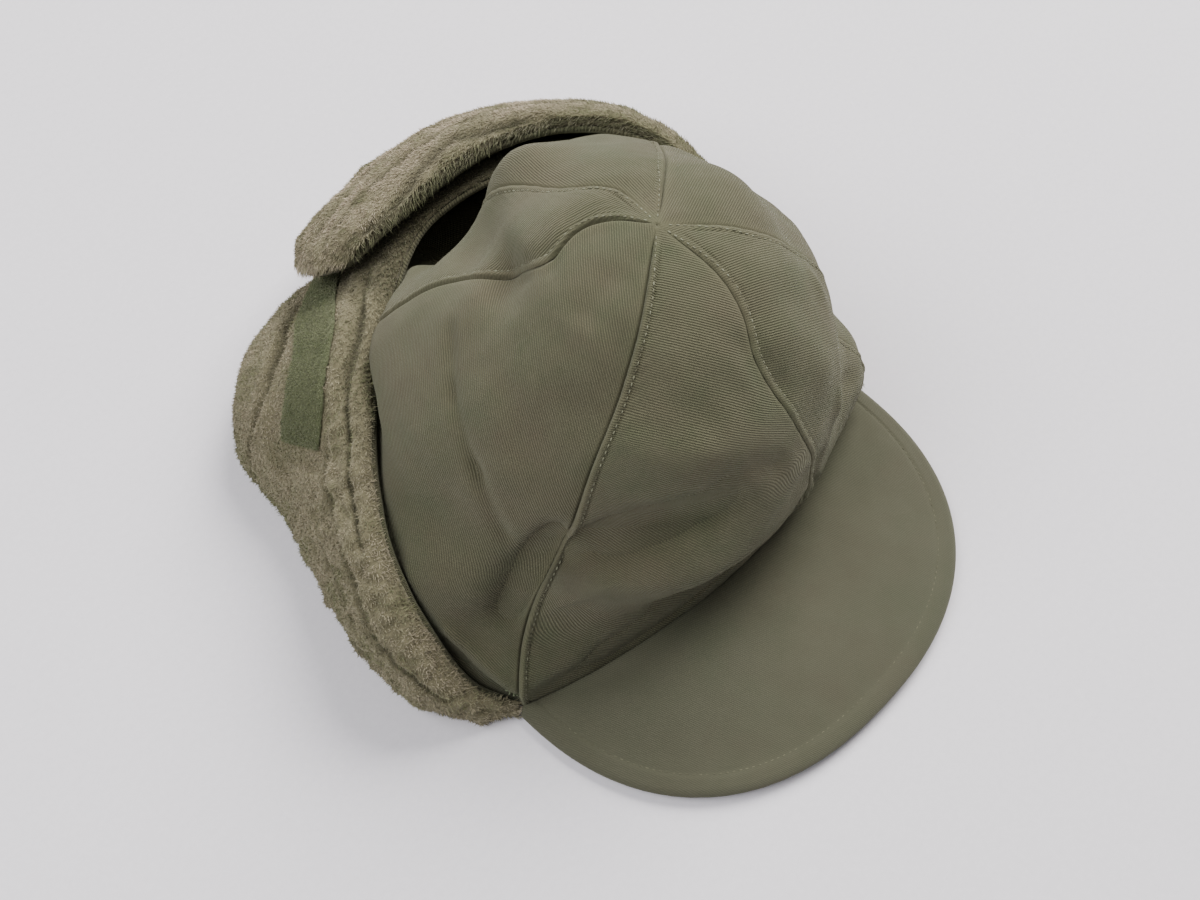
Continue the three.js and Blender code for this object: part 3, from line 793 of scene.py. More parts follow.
def pile(name, root, tip, green, patch=95, fine=700):
    """Plush or felt: painted dark at its fibres' roots as shade between them, pale at their tips, greener
    in patches of its own tone and where shade is painted, and darker in painted shade.
    """
    material, tree, shader = surface(name, 1.0, 0.35, (0.7, 0.66, 0.5), 0.6)
    place = own_place(tree)
    patches = span(tree, noise(tree, place, patch, 4.0, 0.68), 0.46, 0.7)
    # Greener in random patches of the plush's own tone and, as painted shade, in its furrows and along its
    # shaded edges.
    patches = number(tree, "ADD", patches, mark(tree, "dusk"))
    light = blend(tree, span(tree, patches, 0, 1), tip, green)
    # From root to tip: the dark root colour is painted shade between the fibres.
    colour = blend(tree, span(tree, mark(tree, "tip"), 0, 0.85), root, light)
    shade = times(tree, span(tree, noise(tree, place, fine, 2.0, 0.6), 0.3, 0.7, 0.84, 1.16),
                  span(tree, mark(tree, "tint"), 0, 1, 0.85, 1.15))
    # Painted shade: the plush darkens in its furrows, under the left flap's edge and along that flap's
    # rolled free edge.
    shade = times(tree, shade, span(tree, mark(tree, "painted_shade"), 0, 1, 1, 0.42))
    colour = blend(tree, 1.0, colour, shade, "MULTIPLY")
    colour = blend(tree, mark(tree, "cut"), colour, (0.40, 0.42, 0.27))
    paint(tree, shader, colour, noise(tree, place, fine, 3.0, 0.7), 0.8, 0.001)
    return material


def thread(name, pale, dark):
    material, tree, shader = surface(name, 0.7, 0.1, (0.8, 0.8, 0.6))
    place = own_place(tree)
    colour = blend(tree, span(tree, noise(tree, place, 260, 2.0, 0.6), 0.42, 0.58), pale, dark)
    paint(tree, shader, colour, noise(tree, place, 3000), 0.3, 0.0001)
    return material


# %% The cap's materials
faded = (0.113, 0.108, 0.065), (0.081, 0.092, 0.048), (0.106, 0.092, 0.057)
fresh = (0.086, 0.086, 0.057), (0.072, 0.077, 0.048), (0.081, 0.077, 0.051)
crown_twill = twill("crown_twill", 131, *faded)
flap_twill = twill("flap_twill", 45, *faded)
peak_twill = twill("peak_twill", 110, *fresh, 0.0006, 30, 0.4, 0.55)
plush = pile("plush", (0.16, 0.145, 0.085), (0.545, 0.45, 0.345), (0.16, 0.18, 0.085))
felt = pile("loop_felt", (0.09, 0.108, 0.05), (0.185, 0.208, 0.107), (0.134, 0.168, 0.078), 90, 1400)
hooks = pile("hook_tape", (0.045, 0.055, 0.025), (0.085, 0.10, 0.05), (0.07, 0.09, 0.04), 90, 1400)
cotton = thread("stitch_thread", (0.21, 0.215, 0.145), (0.10, 0.095, 0.06))
bar_cotton = thread("bartack_thread", (0.27, 0.31, 0.19), (0.15, 0.18, 0.10))
peak_cotton = thread("peak_thread", (0.135, 0.135, 0.085), (0.08, 0.08, 0.05))
print("materials", sorted(material.name for material in bpy.data.materials))

# %% [markdown]
# ## Stitches
# A stitch is a short round thread that dips at both ends. One tree sets them all: it walks along a line
# at an even pitch and lies each thread along the line, with its back to the cloth. Three short rows make
# the bar tack that holds the hem at the peak's right corner.

# %% Stitch tree


def stitch_nodes():
    """A tree that lies threads along a line of edges whose attribute up points away from the cloth."""
    tree, entry, keys = geometry_tree("topstitch", {
        "Pitch": ("Float", 0.0026), "Thread": ("Vector", (0.0018, 0.0005, 0.00045)),
        "Uneven": ("Float", 0.15), "Seed": ("Int", 7), "Material": ("Material", None)})
    walk = add(tree, "GeometryNodeMeshToCurve", {"Mesh": entry["Geometry"]})
    pitch = {"Curve": walk, "Length": entry["Pitch"]}
    evenly = add(tree, "GeometryNodeResampleCurve", pitch, mode="LENGTH")
    bead = add(tree, "GeometryNodeMeshUVSphere", {"Segments": 6, "Rings": 4, "Radius": 0.5})
    bead = add(tree, "GeometryNodeSetShadeSmooth", {"Geometry": bead})
    axes = {0: named(tree, "up", "FLOAT_VECTOR"), 1: add(tree, "GeometryNodeInputTangent")}
    lie = add(tree, "FunctionNodeAxesToRotation", axes, primary_axis="Z", secondary_axis="X")
    least = number(tree, "SUBTRACT", 1.0, entry["Uneven"])
    chance = add(tree, "FunctionNodeRandomValue", {2: least, "Seed": entry["Seed"]}, 1, data_type="FLOAT")
    size = vector(tree, "SCALE", entry["Thread"], chance)
    stitches = add(tree, "GeometryNodeInstanceOnPoints",
                   {"Points": evenly, "Instance": bead, "Rotation": lie, "Scale": size})
    finish_tree(tree, stitches, entry["Material"])
    return tree, keys


stitch_tree = stitch_nodes()
print("stitch tree", len(stitch_tree[0].nodes), "nodes")

# %% Rows of stitches


def stitch_lines(name, lines, pitch=2.1, thread_size=(1.45, 0.5, 0.45), lift=0.08, seed=7, yarn=cotton):
    """One piece with the stitches of several lines, each given by points and outward directions."""
    points, ups, edges, start = [], [], [], 0
    for path, up in lines:
        points.append(path + up * lift)
        ups.append(up)
        edges += [(start + k, start + k + 1) for k in range(len(path) - 1)]
        start += len(path)
    mesh = bpy.data.meshes.new(name + "_line")
    mesh.from_pydata(((np.concatenate(points) + hem_centre) * MM).tolist(), edges, [])
    set_mark(mesh, "up", np.concatenate(ups))
    carrier = linked(name + "_line", mesh)
    thread_size = [size * MM for size in thread_size]
    values = {"Pitch": pitch * MM, "Thread": thread_size, "Seed": seed, "Material": yarn}
    piece = grow(name, carrier, *stitch_tree, values)
    bpy.data.objects.remove(carrier)
    return piece


def laid(lines, low=0.0, high=1.0):
    """The same lines, cut short at both ends by shares of their points."""
    cut = []
    for path, up in lines:
        a, b = int(low * len(path)), int(high * len(path))
        cut.append((path[a:b], up[a:b]))
    return cut


seam_paths = [line for panel in crown.values() for line in panel[3]]
crown_stitches = stitch_lines("crown_topstitch", laid(seam_paths, 0.03, 0.985))


def bar_line(start, end):
    """One short row of the bar tack at the hem, between two places on the crown."""
    angle, along = np.linspace(start[0], end[0], 9), np.linspace(start[1], end[1], 9)
    return crown_point(angle, along, 1.2), surface_normal(crown_point, angle, along)


bar_rows = [
    ((-51.6, 0.035), (-51.2, 0.07)),
    ((-50.9, 0.03), (-50.5, 0.07)),
    ((-51.9, 0.055), (-50.1, 0.06)),
]
bar_lines = [bar_line(*row) for row in bar_rows]
bar_tack = stitch_lines("crown_bar_tack", bar_lines, 1.1, (1.5, 0.5, 0.45), 0.1, 12, bar_cotton)

# %% [markdown]
# ## The peak
# The peak is two layers of twill over a flexible board. Its top and bottom close to a rounded edge, so
# the layers' thickness follows a quarter of an ellipse over the last millimetres. A row of stitches runs
# near that edge.

# %% Peak surface
peak_seam_offset, peak_seam_height, peak_corner_height = -0.5, 9.5, 2.2
peak_half_width, peak_depth, peak_power, peak_chord = 84.5, 80.7, 2 / 2.3, -72.4
peak_thickness, peak_edge_rise, peak_arch = 3.2, 1.6, 5
peak_columns, peak_rows, peak_rim_rows, peak_rim = 260, 55, 17, 0.9
peak_stitch_inset, peak_round = 6.5, 2.2


def peak_middle(u, v):
    """Middle surface of the peak, from the crown's seam to the outer edge."""
    turn = corner_angle * (2 * u - 1)
    rise = 1 - (turn / corner_angle) ** 2
    seam = heading(turn) * (hem_radius(turn) + peak_seam_offset)[..., None]
    seam[..., 2] = peak_corner_height + (peak_seam_height - peak_corner_height) * rise
    sweep = np.pi * (1 - u)
    x = np.sign(np.cos(sweep)) * np.abs(np.cos(sweep)) ** peak_power * peak_half_width
    y = peak_chord - np.sin(sweep).clip(0) ** peak_power * peak_depth
    edge = np.stack([x, y, rest_gap + peak_edge_rise * rise], -1)
    point = seam * (1 - v[..., None]) + edge * v[..., None]
    point[..., 2] += peak_arch * rise * np.sin(np.pi * v).clip(0) ** 1.2 * (1 - v / 2) + peak_thickness / 2
    return point


def edge_distance(points, edge):
    """Distance on the ground from each point of a grid to the peak's outer edge."""
    away = np.full(points.shape[:2], 1e9)
    for spot in edge:
        away = np.minimum(away, np.hypot(points[..., 0] - spot[0], points[..., 1] - spot[1]))
    return away


def peak_grid():
    """Shares along and across the peak, closer together at its corners and along its rim."""
    even = np.linspace(0, 1, peak_columns + 1)
    rim = np.linspace(peak_rim, 1, peak_rim_rows + 1) ** 0.8 * 0.1 + 0.9 - 0.9 ** 0.8 * 0.1
    v = np.r_[np.linspace(0, peak_rim, peak_rows + 1)[:-1], rim]
    v = (v - v[0]) / (v[-1] - v[0])
    u = np.broadcast_to((even - np.sin(2 * np.pi * even) / (4 * np.pi))[:, None], (len(even), len(v)))
    return u, np.broadcast_to(v, u.shape)


# %% Peak


def make_peak():
    """The peak's object, the grid of its top and the line of its outer edge."""
    middle = peak_middle(*peak_grid())
    edge = middle[:, -1]
    away = edge_distance(middle, edge)
    half = peak_thickness / 2 * np.sqrt(1 - (1 - np.clip(away / peak_round, 0.02, 1)) ** 2)
    up = np.array([0, 0, 1.0])
    groove = -0.35 * np.exp(-(((away - peak_stitch_inset) / 0.6) ** 2))
    hem_fold = 0.18 * smooth(away, peak_stitch_inset + 1.2, peak_stitch_inset - 0.6)
    sway = 0.35 * ripple(middle, 26, 11) + 0.10 * ripple(middle, 6, 12)
    sway *= smooth(away, 1, 12)
    relief = groove + hem_fold + sway
    top = middle + up * (half + relief)[..., None]
    bottom = middle - up * half[..., None]
    bottom[..., 2] = np.maximum(bottom[..., 2], 0.2)
    top, bottom, away = top[:, ::-1], bottom[:, ::-1], away[:, ::-1]
    vertices, faces, picks = wall(top, bottom, 5)
    seam_near = np.exp(-(((away - peak_stitch_inset) / 1.4) ** 2)) + np.exp(-((away / 1.2) ** 2))
    piece = cloth_object("peak_cloth", vertices, faces, vertices[:, :2], seam=both_faces(seam_near, picks))
    return piece, top, edge


peak_cloth, peak_top, peak_edge = make_peak()


def peak_stitch_line():
    """The stitched line on the peak's top, at an even distance from its outer edge."""
    keep = slice(10, -10)
    along = unit(np.gradient(peak_edge, axis=0))[keep]
    spots = peak_edge[keep] + np.stack([-along[:, 1], along[:, 0], 0 * along[:, 0]], -1) * peak_stitch_inset
    grid = peak_top.reshape(-1, 3)
    height = [grid[np.argmin(np.hypot(*(grid[:, :2] - spot[:2]).T)), 2] for spot in spots]
    spots[:, 2] = np.convolve(np.pad(height, 4, mode="edge"), np.ones(9) / 9, "valid")
    turn = np.degrees(np.arctan2(spots[:, 0], -spots[:, 1]))
    spots = spots[np.hypot(spots[:, 0], spots[:, 1]) > hem_radius(turn) + 2]
    return spots, np.broadcast_to([0, 0, 1.0], spots.shape)


peak_lines = [peak_stitch_line()]
peak_stitches = stitch_lines("peak_topstitch", peak_lines, 2.1, (1.4, 0.4, 0.35), 0.0, 8, peak_cotton)
print("peak", len(peak_cloth.data.polygons), "faces")

# %% [markdown]
# ## The flaps' twill and its piped edge
# Each flap is a twill layer with plush sewn to it. Folded up, it shows the plush outside, and the twill
# only as a thin roll along the free edge and in the shade against the crown.

# %% Flap shells
pile_roundness, pile_edge_share, pile_end_share = 5, 0.02, 0.35
roll_radius, roll_sides, roll_across = 0.9, 8, 0.985


def flap_grid(flap, columns, rows):
    """Turns and shares across for a flap's grid, whose rows lie closer together at both edges."""
    turn = np.linspace(flap["start"], flap["stop"], columns + 1)
    if flap["side"] < 0:
        turn = turn[::-1]
    even = np.linspace(0, 1, rows + 1)
    across = even - 0.35 * np.sin(2 * np.pi * even) / (2 * np.pi)
    shape = (columns + 1, rows + 1)
    return np.broadcast_to(turn[:, None], shape), np.broadcast_to(across, shape)


def tube(path, radius, sides):
    """Vertices and faces of a closed round roll along a path."""
    along = unit(np.gradient(path, axis=0))
    side = unit(np.cross(along, [0, 0, 1.0]))
    up = np.cross(side, along)
    turns = np.linspace(0, 2 * np.pi, sides, endpoint=False)[None, :, None]
    rings = path[:, None] + radius * (np.cos(turns) * side[:, None] + np.sin(turns) * up[:, None])
    at = np.arange(len(path) * sides).reshape(len(path), sides)
    turned = np.roll(at, -1, axis=1)
    quads = np.stack([at[:-1], turned[:-1], turned[1:], at[1:]], -1).reshape(-1, 4)
    return rings.reshape(-1, 3), [*quads.tolist(), at[0][::-1].tolist(), at[-1].tolist()]


# %% Flap twill
hem_stitch_share, roll_level = 0.93, -1.6


def cut_size(name, faces, rise, run):
    """Width and length that a strip was cut to, and its area, from the grid's lengths across and along."""
    flat = (float(rise[:, -1].max()), float(run[-1].max()))
    area = float(rise[:, -1].mean() * run[-1].mean())
    print(name, len(faces), "faces, cut", [round(v, 1) for v in flat], "mm, area", round(area / 100), "cm2")
    return flat, area


def edge_roll(flap, turn):
    """Vertices and faces of the piped roll under a flap's free edge, and its place on the cloth."""
    path = flap_point(flap, turn, np.full(len(turn), roll_across), np.full(len(turn), roll_level))
    path[:, 2] += 0.1
    path += 0.12 * np.stack([ripple(path, 9, s) for s in (31, 32, 33)], -1)
    path = path[3:-3]
    roll, faces = tube(path, roll_radius, roll_sides)
    run = np.repeat(lengths(path, 0), roll_sides)
    return roll, faces, np.stack([run, np.tile(np.arange(roll_sides), len(path))], -1)


def flap_shell_cloth(name, flap):
    """The twill's object, its cut size and area, and the line that its stitches follow."""
    turn, across = flap_grid(flap, 240, 24)
    outside = flap_point(flap, turn, across, np.full(turn.shape, -flap_gap / 2))
    relief = 0.35 * ripple(outside, 16, 21) * smooth(across, 0.02, 0.2) * smooth(across, 0.98, 0.85)
    inside = flap_point(flap, turn, across, -flap_gap / 2 - flap_shell + 0 * turn)
    relief = relief - 0.3 * np.exp(-(((across - hem_stitch_share) / 0.012) ** 2))
    inside = inside - grid_normals(inside) * relief[..., None]
    vertices, faces, picks = wall(inside[::-1], outside[::-1], 4)
    run, rise = lengths(inside, 0), lengths(inside, 1)
    cloth = both_faces(np.stack([run, rise], -1)[::-1], picks)
    roll, roll_faces, roll_cloth = edge_roll(flap, turn[:, 0])
    faces += [[v + len(vertices) for v in face] for face in roll_faces]
    seam = np.concatenate([np.zeros(len(vertices)), np.full(len(roll), 0.2)])
    vertices, cloth = np.concatenate([vertices, roll]), np.concatenate([cloth, roll_cloth])
    piece = cloth_object(name, vertices, faces, cloth, seam=seam)
    row = int(np.argmin(np.abs(across[0] - hem_stitch_share)))
    line = (inside[4:-4, row], -grid_normals(inside)[4:-4, row])
    return piece, *cut_size(name, faces, rise, run), line


shells = {side: flap_shell_cloth(f"earflap_{side}_twill", flap)
          for side, flap in {"right": right_flap, "left": left_flap}.items()}
flap_stitches = stitch_lines("flap_topstitch", [shell[3] for shell in shells.values()])

# %% [markdown]
# ## Plush
# Plush is a knitted back with upright fibres, here about two millimetres long and brushed flat in use.
# Sewn channels and folds part the fibres, so the backing is modelled first, with its furrows and clumps,
# and carries for each point which way the nap lies, how long it is and how dense. A tree then plants the
# fibres.

# %% Furrows of the plush


def furrow(width, depth, *places):
    """A furrow through places, each a turn and a share across, with its width and depth in millimetres."""
    return table("turn across", places), width, depth


right_furrows = [
    furrow(1.7, 3.6, (118, 0.06), (121, 0.20), (124, 0.355), (128, 0.46), (133, 0.50), (139, 0.51),
           (146, 0.46), (154, 0.39), (164, 0.28)),
    furrow(5.0, -1.3, (118, 0.02), (128, 0.22), (140, 0.26), (160, 0.16)),
    furrow(1.8, -1.6, (80, 0.81), (91, 0.79), (100, 0.745), (108, 0.785), (117, 0.84), (130, 0.865),
           (146, 0.84), (160, 0.825)),
    furrow(1.3, 2.0, (82, 0.90), (97, 0.89), (106, 0.895), (116, 0.91), (129, 0.935), (145, 0.915),
           (160, 0.90)),
    furrow(2.0, 2.2, (75, 0.70), (80, 0.74), (87, 0.73), (92, 0.725), (99, 0.69), (108, 0.70)),
    furrow(1.8, 1.9, (57, 0.47), (66, 0.47), (72, 0.48), (80, 0.49), (92, 0.50)),
    furrow(1.6, 1.2, (60, 0.74), (68, 0.72), (76, 0.66)),
    furrow(2.0, 1.3, (60, 0.28), (74, 0.33), (88, 0.32)),
    furrow(3.0, 1.2, (170, 0.5), (200, 0.5), (236, 0.55)),
]
left_furrows = [
    furrow(1.7, 2.4, (110, 0.78), (140, 0.72), (158, 0.68), (170, 0.655), (178, 0.63), (189, 0.64),
           (198, 0.68)),
    furrow(1.0, 1.3, (138, 0.95), (154, 0.925), (161, 0.90), (172, 0.92), (181, 0.945), (190, 0.95),
           (198, 0.92)),
    furrow(1.0, 0.9, (120, 0.87), (150, 0.83), (170, 0.80), (185, 0.80), (197, 0.79)),
    furrow(2.6, 1.6, (60, 0.45), (90, 0.5), (130, 0.5), (165, 0.47), (198, 0.42)),
    furrow(2.6, 1.0, (80, 0.24), (120, 0.26), (160, 0.22), (190, 0.2)),
]
print(len(right_furrows), "furrows on the right flap and", len(left_furrows), "on the left one")

# %% Pile under the loop tape
strip_thickness, strip_recess = 1.2, 2.2
tape_columns = "angle middle half slant"
loop_rows = table(tape_columns, [
    (114, 0.57, 0.093, -4), (117, 0.63, 0.10, -3.5), (122, 0.705, 0.10, -3),
    (133, 0.74, 0.105, -2), (149, 0.64, 0.14, -2), (165, 0.44, 0.16, 0),
])


def lane_of(rows, turn, across):
    """Turn of the tape's section through a point, and how far the point is beyond the tape's edge."""
    lane = np.clip((across - read(rows, "middle", turn)) / read(rows, "half", turn), -1, 1)
    square = turn - read(rows, "slant", turn) * lane
    return square, np.abs(across - read(rows, "middle", square)) - read(rows, "half", square)


def tape_cover(rows, turn, across):
    start, stop = rows["angle"][0], rows["angle"][-1]
    square, away = lane_of(rows, turn, across)
    along = smooth(square, start - 9, start - 4) * (1 - smooth(square, stop + 4, stop + 9))
    return along * (1 - smooth(away, 0.09, 0.16))


def under_tape(turn, across, margin=0.0):
    """1 under the loop tape itself and 0 beside it."""
    square, away = lane_of(loop_rows, turn, across)
    start = loop_rows["angle"][0] - 60 * margin
    return (1 - smooth(away - margin, -0.01, 0.02)) * smooth(square, start - 1, start + 1)


def pile_thickness(flap, turn, across):
    full = read(flap["rows"], "pile", turn)
    rounded = np.sqrt(np.maximum(1 - np.abs(2 * across - 1) ** pile_roundness, pile_edge_share))
    ends = np.minimum(smooth(turn, flap["start"] - 3, flap["start"] + 6),
                      1 - smooth(turn, flap["stop"] - 5, flap["stop"] + 3))
    thickness = full * rounded * (pile_end_share + (1 - pile_end_share) * ends)
    pressed = strip_recess * tape_cover(loop_rows, turn, across) if flap is right_flap else 0
    return thickness - pressed


def furrow_depth(furrows, turn, across, reach):
    """Depth of the furrows and how much each point lies in one; reach is the flap's width in mm."""
    depth, inside = np.zeros(turn.shape), np.zeros(turn.shape)
    for rows, width, deep in furrows:
        start, stop = rows["turn"][0], rows["turn"][-1]
        fade = smooth(turn, start - 3, start + 6) * (1 - smooth(turn, stop - 6, stop + 3))
        away = (across - read(rows, "across", turn)) * reach
        share = fade * np.exp(-((away / width) ** 2))
        depth += deep * share
        inside = np.maximum(inside, share * np.sign(max(deep, 0)))
    return depth, inside


# %% How the plush lies
edge_lip, end_lip = 3.2, 1.0


def plush_grids(flap, furrows, columns, rows):
    """The plush before its clumps, by name: surface, directions, furrows, and how near each edge is."""
    turn, across = flap_grid(flap, columns, rows)
    thickness = pile_thickness(flap, turn, across)
    plain = flap_point(flap, turn, across, thickness)
    run, rise = lengths(plain, 0), lengths(plain, 1)
    depth, inside = furrow_depth(furrows, turn, across, rise[:, -1:].mean())
    ends = smooth(turn, flap["start"] + 2, flap["start"]) + smooth(turn, flap["stop"] - 2, flap["stop"])
    return SimpleNamespace(
        turn=turn, across=across, thickness=thickness, plain=plain, run=run, rise=rise, depth=depth,
        inside=inside, ends=ends, edge=smooth(across, 0.9, 1.0), foot=smooth(across, 0.12, 0.0),
        along=unit(np.gradient(plain, axis=0)), over=unit(np.gradient(plain, axis=1)))


def curly_plush(at):
    """The right flap's plush: curly at the front, smoother behind, and pressed flat under the loop tape."""
    turn, across, curly = at.turn, at.across, smooth(at.turn, 112, 96)
    at.bumps = (0.30 + 0.40 * curly) * ripple(at.plain, 2.6, 41, 24)
    at.bumps += (0.25 + 0.45 * curly) * ripple(at.plain, 5.5, 42)
    at.free, at.firm = 1 - tape_cover(loop_rows, turn, across), 1 - under_tape(turn, across, 0.01)
    at.cover = 1 - under_tape(turn, across)
    at.nap = at.along * 0.35 + at.over * (0.6 * at.edge - 0.5 * at.foot)[..., None]
    # Greener plush: random patches of its own tone, more toward the foot and a little over the whole flap;
    # near its free edge from the side back, against the crown and under the left flap, it is painted shade.
    at.dusk = 0.3 * smooth(turn, 110, 60) * ripple(at.plain, 14, 47).clip(0)
    at.dusk = at.dusk + 0.45 * smooth(across, 0.3, 0.0)
    at.dusk = at.dusk + 0.35 + 0.3 * smooth(across, 0.84, 0.9) * smooth(turn, 90, 110)
    at.length = 1.35 + 0.5 * at.edge + 0.7 * at.foot - 0.5 * at.inside
    # The right flap's band under the left flap's overhanging edge joins the furrows, to be painted in
    # shade.
    at.inside = np.maximum(at.inside, 0.8 * smooth(turn, 144, 156) * smooth(across, 0.66, 0.85))
    start = right_flap["start"]
    at.push = at.along * (1.5 * end_lip * smooth(turn, start + 6, start))[..., None]


def combed_plush(at):
    """The left flap's plush: combed along the flap, with a lip at its free edge."""
    turn, across = at.turn, at.across
    middle_run = np.broadcast_to(at.run[:, at.run.shape[1] // 2][:, None], at.run.shape)
    combed = np.stack([middle_run / 5, at.rise, 0 * at.run], -1)
    at.bumps = 0.40 * ripple(combed, 3.0, 43) + 0.35 * ripple(combed, 7, 44)
    at.bumps += 0.20 * ripple(at.plain, 4, 41)
    at.free = at.firm = at.cover = np.ones(turn.shape)
    rise_again = 0.25 * ripple(at.plain, 12, 45) + 0.8 * at.edge - 0.8 * at.foot
    at.nap = at.along * 0.9 + at.over * rise_again[..., None]
    # Greener plush toward the foot and the front; along the rolled free edge the green is painted shade.
    at.dusk = 0.9 * at.edge + 0.45 * smooth(across, 0.55, 0.3) + 0.45 * smooth(turn, 150, 110)
    at.length = 1.6 + 0.9 * at.edge + 0.5 * at.foot - 0.5 * at.inside
    at.length += 1.1 * smooth(across, 0.95, 1.0)
    # The left flap's rolled-under free edge joins the furrows, to be painted in shade.
    at.inside = np.maximum(at.inside, 0.9 * smooth(across, 0.955, 0.985))
    stop = left_flap["stop"]
    lip = edge_lip * smooth(across, 0.86, 0.95) * (1 - smooth(across, 0.955, 1.0))
    lip *= smooth(turn, 60, 100)
    at.push = at.over * lip[..., None] + at.along * (end_lip * smooth(turn, stop - 7, stop))[..., None]


# %% Pile backing


def flap_pile(name, flap, furrows, columns, rows, lay_down):
    """The backing's object and the area of its front; lay_down says how this flap's plush lies."""
    at = plush_grids(flap, furrows, columns, rows)
    lay_down(at)
    deep = smooth(at.thickness, 0.6, 2.5)
    calm = smooth(at.across, 0, 0.08) * smooth(at.across, 1, 0.94) * at.free * deep
    firm = smooth(at.across, 0, 0.05) * smooth(at.across, 1, 0.985) * at.firm
    relief = np.clip(at.bumps * calm - at.depth * firm * deep, 0.6 - at.thickness, 1.7)
    outer = at.plain + grid_normals(at.plain) * relief[..., None] + at.push
    outer[..., 2] = np.maximum(outer[..., 2], 0.4)
    back = flap_point(flap, at.turn, at.across, flap_gap / 2 + 0 * at.turn)
    vertices, faces, picks = wall(outer, back, 5)
    forward = np.where(at.turn > 130, 1.0, -1.0) * np.sign(at.turn[-1, 0] - at.turn[0, 0])
    outward = at.along * (forward * 2 * at.ends)[..., None]
    # The last two marks paint shade: the first turns the plush greener, partly its own tone and partly
    # painted shade in the furrows and bands, and the second darkens it there as painted shade.
    marks = {"nap": at.nap + outward, "reach": at.length + 0.8 * at.ends,
             "cover": at.cover * smooth(at.across, 0.0, 0.02), "dusk": at.dusk + 0.5 * at.inside,
             "painted_shade": at.inside}
    marks = {label: both_faces(values, picks) for label, values in marks.items()}
    marks["cover"][at.turn.size:] = 0
    cloth = both_faces(np.stack([at.run, at.rise], -1), picks)
    piece = cloth_object(name, vertices, faces, cloth, **marks)
    piece.data.materials.append(plush)
    area = float(np.mean(at.rise[:, -1]) * at.run.mean(1)[-1])
    print(name, len(faces), "faces, front", round(area / 100), "cm2")
    return piece, area


right_pile, right_area = flap_pile("earflap_right_plush", right_flap, right_furrows, 330, 76, curly_plush)
left_pile, left_area = flap_pile("earflap_left_plush", left_flap, left_furrows, 280, 76, combed_plush)

# %% Fibre tree


def fibre_nodes():
    """A tree that plants fibres on a mesh by its attributes cover, nap and reach."""
    tree, entry, keys = geometry_tree("nap", {
        "Density": ("Float", 2.0e6), "Width": ("Float", 0.0005), "Lift": ("Float", 0.7),
        "Tousle": ("Float", 1.2), "Tuft": ("Float", 260.0), "Fray": ("Float", 0.5),
        "Seed": ("Int", 3), "Material": ("Material", None)})
    seed = {"Seed": entry["Seed"]}
    density = times(tree, entry["Density"], named(tree, "cover"))
    roots = add(tree, "GeometryNodeDistributePointsOnFaces",
                {"Mesh": entry["Geometry"], "Density": density, **seed})
    points = store(tree, roots, "tint", add(tree, "FunctionNodeRandomValue", seed, 1, data_type="FLOAT"))
    place = add(tree, "GeometryNodeInputPosition")
    clumps = {"Vector": place, "Scale": entry["Tuft"], "Detail": 1.0}
    tufts = add(tree, "ShaderNodeTexNoise", clumps, "Color")
    tousled = vector(tree, "SCALE", vector(tree, "SUBTRACT", tufts, (0.5, 0.5, 0.5)), entry["Tousle"])
    stray = add(tree, "FunctionNodeRandomValue", {0: (-1, -1, -1), 1: (1, 1, 1), **seed},
                data_type="FLOAT_VECTOR")
    loose = vector(tree, "ADD", tousled, vector(tree, "SCALE", stray, entry["Fray"]))
    upright = vector(tree, "SCALE", roots.node.outputs["Normal"], entry["Lift"])
    leaning = vector(tree, "ADD", upright, named(tree, "nap", "FLOAT_VECTOR"))
    lean = vector(tree, "ADD", leaning, loose)
    turned = add(tree, "FunctionNodeAlignRotationToVector", {"Vector": lean}, axis="Z")
    strand = add(tree, "GeometryNodeMeshCone",
                 {"Vertices": 3, "Radius Top": 0.0, "Radius Bottom": 0.5, "Depth": 1.0}, fill_type="NGON")
    # Each fibre's share of its height, by which the plush's colour paints shade at its root.
    strand = store(tree, strand, "tip", add(tree, "ShaderNodeSeparateXYZ", {0: place}, 2))
    spread = add(tree, "FunctionNodeRandomValue", {2: 0.6, 3: 1.2, "Seed": 11}, 1, data_type="FLOAT")
    tall = times(tree, times(tree, named(tree, "reach"), spread), MM)
    size = add(tree, "ShaderNodeCombineXYZ", {0: entry["Width"], 1: entry["Width"], 2: tall})
    fibres = add(tree, "GeometryNodeInstanceOnPoints",
                 {"Points": points, "Instance": strand, "Rotation": turned, "Scale": size})
    finish_tree(tree, fibres, entry["Material"])
    return tree, keys


fibre_tree = fibre_nodes()
print("fibre tree", len(fibre_tree[0].nodes), "nodes")

# %% Fibres of the plush


def plant(name, carrier, count, area, width, **values):
    """About count fibres, each width millimetres thick, on a carrier whose front has this area."""
    values = {"Density": count / (area * MM * MM), "Width": width * MM, **values}
    return grow(name, carrier, *fibre_tree, values)


right_nap = plant("earflap_right_nap", right_pile, 46000, right_area, 0.42, Lift=0.55, Tousle=1.4,
                  Tuft=500.0, Fray=1.1, Seed=3, Material=plush)
left_nap = plant("earflap_left_nap", left_pile, 46000, left_area, 0.40, Lift=0.4, Tousle=0.9,
                 Tuft=300.0, Fray=0.6, Seed=5, Material=plush)

# %% [markdown]
# ## The two tapes
# A loop tape is sewn on the right flap's plush and a hook tape on the left flap's twill, so that the
# flaps fasten to each other under the chin or behind the crown. The loop tape is a felt of short green
# loops with a frayed edge.

# %% Tapes
hook_rows = table(tape_columns, [(178, 0.5, 0.19, 0), (195, 0.5, 0.19, 0)])


